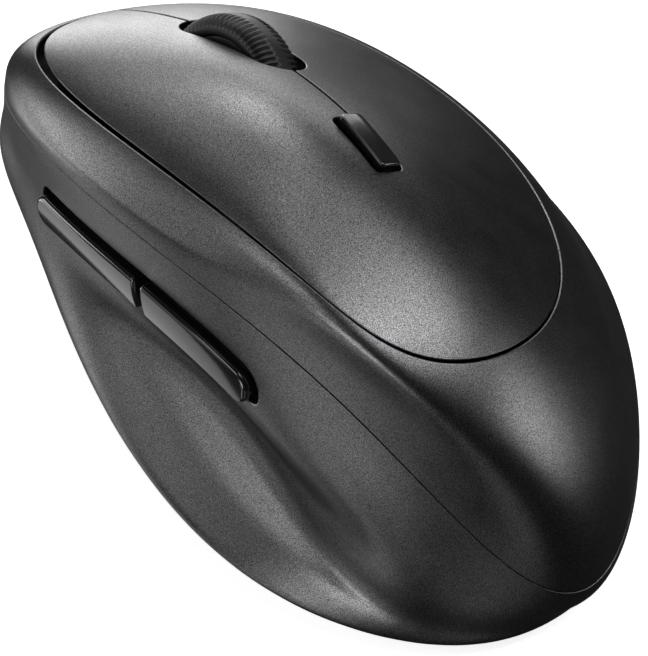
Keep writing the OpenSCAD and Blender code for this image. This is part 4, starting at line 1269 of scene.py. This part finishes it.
@dataclass
class GlossButtons:
    """Centre button and the two thumb buttons."""

    form: BodyForm
    bench: Bench
    centre: Spot
    shells: Shells
    centre_w: float = 4.0
    centre_l: float = 9.6
    centre_corner: float = 0.7
    centre_rise: float = 1.0
    centre_deep: float = 3.0
    centre_crown: float = 0.25
    edge: float = 0.3
    side_rise: float = 1.4
    side_lean: float = 5.0
    side_deep: float = 2.0
    side_edge: float = 0.6
    side_crown: float = 0.25
    side_break_gap: float = 1.2
    outer_corner: float = 2.3
    break_corner: float = 0.7
    least_corner: float = 0.05
    centre_rows: int = 11
    side_rows: int = 13
    turn_steps: int = 11
    flat_steps: int = 5
    straight_steps: int = 42

    def capsule(self, first: float, last: float, half: float,
                corners: tuple[float, float]) -> tuple[np.ndarray, np.ndarray]:
        """Columns along a rounded rectangle, and its half height at each.

        Args:
            first: Where the rectangle starts.
            last: Where it ends.
            half: Half its height.
            corners: Corner radius at its start and at its end.

        Returns:
            Places along the rectangle and half heights there.
        """
        turn = np.linspace(0, np.pi / 2, self.turn_steps)
        start, stop = corners
        flat_start = np.linspace(0, half - start, self.flat_steps)[:-1]
        flat_stop = np.linspace(0, half - stop, self.flat_steps)[:-1]
        middle = np.linspace(first + start, last - stop, self.straight_steps)[1:-1]
        at = np.concatenate([np.full(len(flat_start), first), first + start * (1 - np.cos(turn)), middle,
                             last - stop * (1 - np.cos(turn[::-1])), np.full(len(flat_stop), last)])
        high = np.concatenate([flat_start, half - start + start * np.sin(turn), np.full(len(middle), half),
                               half - stop + stop * np.sin(turn[::-1]), flat_stop[::-1]])
        return at, high

    def cap(self, name: str, face: Skin, radius: float, deep: float) -> bpy.types.Object:
        """Closes a face into a cap with rounded edges.

        Args:
            name: Name of the piece.
            face: The cap's face inside the rounding, from one long edge to the other.
            radius: Radius of the rounding.
            deep: Depth of the cap's wall.

        Returns:
            The finished cap.
        """
        loop = np.vstack([face.points[-1], face.points[0][::-1][1:-1]])
        up = np.vstack([face.facing[-1], face.facing[0][::-1][1:-1]])
        middle = loop.mean(axis=0)
        count = len(face.points[0])
        ahead = np.roll(loop, -1, axis=0) - np.roll(loop, 1, axis=0)
        out = unit(np.cross(ahead, up))
        out *= np.sign(np.sum(out * (loop - middle)))
        top_out = out[:count]
        low_out = np.vstack([out[:1], out[count:][::-1], out[count - 1:count]])
        rows = []
        for row, away in ((-1, top_out), (0, low_out)):
            line = face.points[row]
            normal = face.facing[row]
            bend = rounding(line, away, normal, radius, np.zeros(count))
            rows.append(Skin.stacked([bend, Skin.plain((line + radius * away - deep * normal)[None])]))
        return self.bench.piece(name, [Skin.stacked([face, rows[0], rows[1].reversed()]).closed()])

    def centre_button(self) -> bpy.types.Object:
        """Builds the centre button: a crowned gloss cap.

        Returns:
            The centre button.
        """
        along, half = self.capsule(-self.centre_l / 2 + self.edge, self.centre_l / 2 - self.edge,
                                   self.centre_w / 2 - self.edge, (self.centre_corner - self.edge,) * 2)
        share = np.linspace(-1, 1, self.centre_rows)[:, None]
        across = share * half
        along = np.broadcast_to(along, across.shape)
        bow = (across / (self.centre_w / 2)) ** 2 + (along / (self.centre_l / 2)) ** 2
        height = self.centre_rise - self.centre_crown * bow / 2
        slope_x = self.centre_crown * across / (self.centre_w / 2) ** 2
        slope_y = self.centre_crown * along / (self.centre_l / 2) ** 2
        local = np.stack([across, along, height], axis=-1)
        facing = unit(np.stack([slope_x, slope_y, np.ones_like(slope_x)], axis=-1))
        face = Skin(self.centre.world(local), facing @ self.centre.axes)
        return self.cap("centre_button_cap", face, self.edge, self.centre_deep)

    def thumb_button(self, name: str, front: float, rear: float,
                     corners: tuple[float, float]) -> bpy.types.Object:
        """Builds a thumb button that follows the wall.

        Args:
            name: Name of the piece.
            front: Distance along the wall at which it starts.
            rear: Distance at which it ends.
            corners: Corner radius at its front and at its rear.

        Returns:
            The thumb button.
        """
        angles, run = self.shells.side_line()
        inset = self.side_edge
        full = self.shells.side_h / 2
        rounds = tuple(max(corner - inset, self.least_corner) for corner in corners)
        at, half = self.capsule(front + inset, rear - inset, full - inset, rounds)
        angle = np.interp(at, run, angles)
        half = half * self.shells.side_half(angle) / full
        middle = self.shells.side_up(angle)
        share = np.linspace(-1, 1, self.side_rows)[:, None]
        tall = share * half
        lean = math.radians(self.side_lean)
        wall_out = self.form.normal(angle, middle)
        wall_up = unit(self.form.blended(angle, middle, rate=True))
        normal = math.cos(lean) * wall_out + math.sin(lean) * wall_up
        along = math.cos(lean) * wall_up - math.sin(lean) * wall_out
        crown = self.side_crown * (1 - (tall / full) ** 2)
        points = self.form.point(angle, middle) + tall[..., None] * along
        points = points + (self.side_rise + crown)[..., None] * normal
        tilt = 2 * self.side_crown * tall / full ** 2
        facing = unit(normal + tilt[..., None] * along)
        return self.cap(name, Skin(points, facing), self.side_edge, self.side_rise + self.side_deep)

    def build(self) -> list[bpy.types.Object]:
        """Builds and dresses the gloss buttons.

        Returns:
            The centre button and both thumb buttons.
        """
        angles, run = self.shells.side_line()
        strip = [self.shells.side_front, self.shells.side_break, self.shells.side_back]
        marks = np.interp(strip, angles, run)
        gap = self.side_break_gap / 2
        corners = (self.outer_corner, self.break_corner)
        made = [self.centre_button(),
                self.thumb_button("forward_button_cap", marks[0], marks[1] - gap, corners),
                self.thumb_button("back_button_cap", marks[1] + gap, marks[2], corners[::-1])]
        bodies = ("dpi", "forward", "back")
        nodes = ("dpi_button", "forward_button", "back_button")
        for piece, body, node in zip(made, bodies, nodes):
            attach(piece, body)
            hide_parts(node)
            dress(piece, Slot.GLOSS)
        return made


@dataclass(frozen=True)
class Card:
    """A soft rectangular light: direction in degrees, power in watts and size in metres."""

    name: str
    azimuth: float
    elevation: float
    power: float
    size: tuple[float, float] = (0.25, 0.25)


CARDS = (
    Card("overhead_card", 45, 65, 0.8),
    Card("front_high_card", 140, 65, 0.25),
    Card("right_card", 60, 45, 0.6),
    Card("right_low_card", 50, 5, 0.55, (0.3, 0.2)),
    Card("front_card", 152, 36, 1.3, (0.4, 0.3)),
    Card("front_low_card", 150, -10, 1.0, (0.3, 0.3)),
    Card("front_right_card", 125, 8, 0.35),
    Card("front_left_card", -150, 5, 0.6),
    Card("front_under_card", -150, -25, 0.4),
    Card("left_card", -105, 42, 0.5, (0.3, 0.25)),
    Card("left_low_card", -72, 8, 0.8),
    Card("left_wing_card", -120, 5, 0.15),
    Card("left_floor_card", -135, -50, 0.16, (0.3, 0.3)),
    Card("left_under_card", -90, -25, 0.18),
    Card("rear_under_card", -30, -25, 0.06),
)


@dataclass
class Studio:
    """Pale floor, soft lights and the camera at the photograph's angle."""

    form: BodyForm
    azimuth: float = -40.4
    elevation: float = 52.5
    distance: float = 500.0
    focal_px: float = 3689.0
    image_px: tuple[int, int] = (648, 656)
    target: tuple[float, float, float] = (0.0, 0.0, 25.0)
    target_px: tuple[float, float] = (334.4, 247.7)
    sensor: float = 36.0
    clip: tuple[float, float] = (0.01, 20.0)
    lamp_far: float = 0.6
    lamp_aim: float = 0.03
    floor_size: float = 6.0
    floor_tone: float = 0.95
    floor_rough: float = 0.9
    floor_glow: float = 0.8
    ambient: float = 0.02

    def direction(self, azimuth: float, elevation: float) -> np.ndarray:
        """Direction from the object towards an azimuth and an elevation in degrees."""
        turn, rise = np.radians((azimuth, elevation))
        return np.array([math.sin(turn) * math.cos(rise), -math.cos(turn) * math.cos(rise), math.sin(rise)])

    def camera(self) -> None:
        """Puts the camera where the photograph was taken, aimed at the middle of the picture."""
        back = self.direction(self.azimuth, self.elevation)
        turn = math.radians(self.azimuth)
        right = np.array([math.cos(turn), math.sin(turn), 0.0])
        up = np.cross(back, right)
        target = np.array(self.target) - np.array(self.form.drawn_middle)
        place = (target + self.distance * back) * MM
        across = self.image_px[0] / 2 - self.target_px[0]
        down = self.image_px[1] / 2 - self.target_px[1]
        aim = -back * self.focal_px + right * across - up * down
        data = bpy.data.cameras.new("photo_camera")
        data.sensor_fit = "HORIZONTAL"
        data.sensor_width = self.sensor
        data.lens = self.focal_px / self.image_px[0] * self.sensor
        data.clip_start, data.clip_end = self.clip
        camera = bpy.data.objects.new("photo_camera", data)
        bpy.context.scene.collection.objects.link(camera)
        camera.location = Vector(place)
        camera.rotation_euler = Vector(aim).to_track_quat("-Z", "Y").to_euler()
        bpy.context.scene.camera = camera

    def light(self, card: Card) -> None:
        """Adds a soft rectangular light that faces the object.

        Args:
            card: The light's direction, power and size.
        """
        data = bpy.data.lights.new(card.name, "AREA")
        data.shape = "RECTANGLE"
        data.size, data.size_y = card.size
        data.energy = card.power
        lamp = bpy.data.objects.new(card.name, data)
        bpy.context.scene.collection.objects.link(lamp)
        way = Vector(self.direction(card.azimuth, card.elevation))
        lamp.location = Vector((0.0, 0.0, self.lamp_aim)) + way * self.lamp_far
        lamp.rotation_euler = way.to_track_quat("Z", "Y").to_euler()
        lamp.visible_camera = False

    def floor(self) -> None:
        """Lays the pale floor, which takes shadows but hides no light and isn't mirrored in the object."""
        Bench.clear()
        bpy.ops.mesh.primitive_plane_add(size=self.floor_size, location=(0, 0, 0))
        floor = bpy.context.object
        floor.name = "floor"
        made = bpy.data.materials.new("pale_floor")
        made.use_nodes = True
        shader = made.node_tree.nodes["Principled BSDF"]
        shader.inputs["Base Color"].default_value = (self.floor_tone,) * 3 + (1.0,)
        shader.inputs["Roughness"].default_value = self.floor_rough
        shader.inputs["Emission Color"].default_value = WHITE_LIGHT
        shader.inputs["Emission Strength"].default_value = self.floor_glow
        floor.data.materials.append(made)
        floor.visible_glossy = False
        floor.visible_diffuse = False
        floor.visible_shadow = False

    def world(self) -> None:
        """Sets a surrounding that the camera sees as white and that lights the object dimly."""
        world = bpy.data.worlds.new("studio")
        bpy.context.scene.world = world
        world.use_nodes = True
        nodes = world.node_tree.nodes
        links = world.node_tree.links
        dim = nodes["Background"]
        dim.inputs["Strength"].default_value = self.ambient
        dim.inputs["Color"].default_value = WHITE_LIGHT
        seen = nodes.new("ShaderNodeBackground")
        seen.inputs["Color"].default_value = WHITE_LIGHT
        path = nodes.new("ShaderNodeLightPath")
        choose = nodes.new("ShaderNodeMixShader")
        links.new(path.outputs["Is Camera Ray"], choose.inputs["Fac"])
        links.new(dim.outputs["Background"], choose.inputs[1])
        links.new(seen.outputs["Background"], choose.inputs[2])
        links.new(choose.outputs["Shader"], nodes["World Output"].inputs["Surface"])
        bpy.context.scene.view_settings.view_transform = "Standard"

    def build(self) -> None:
        """Sets up floor, lights and camera."""
        self.world()
        self.floor()
        self.camera()
        for card in CARDS:
            self.light(card)


def dress_nodes() -> int:
    """Dresses the solids that stay in view, each by its slot in the record.

    Returns:
        How many solids were dressed.
    """
    slots = {row["node"]: row["material_slot"] for row in frame["record"]["subparts"]}
    for name, node in frame["nodes"].items():
        node.data.materials.clear()
        node.data.materials.append(FINISHES[Slot(slots[name])].material())
    return len(slots)


def main() -> None:
    """Builds the pieces in order and reports each of them."""
    logging.basicConfig(level=logging.INFO, format="%(name)s: %(message)s")
    form = BodyForm()
    bench = Bench()
    spin = next(j for j in frame["record"]["behaviour"]["joints"] if j["name"] == "wheel_spin")
    wheel = Spot.turned(np.array(spin["pos_m"]) / MM, WHEEL_TURN)
    press = Spot.turned(form.point(*PRESS_AT), PRESS_TURN)
    centre = Spot.turned(form.point(*CENTRE_AT), CENTRE_TURN)
    LOG.info("dressed %d solids", dress_nodes())
    shells = Shells(form, bench)
    pieces = shells.build()
    pieces += TopPanel(form, bench, wheel, press, centre).build()
    pieces += ScrollWheel(bench, wheel).build()
    pieces += GlossButtons(form, bench, centre, shells).build()
    Studio(form).build()
    for piece in pieces:
        LOG.info("%s: %d faces", piece.name, len(piece.data.polygons))


if __name__ == "__main__":
    main()
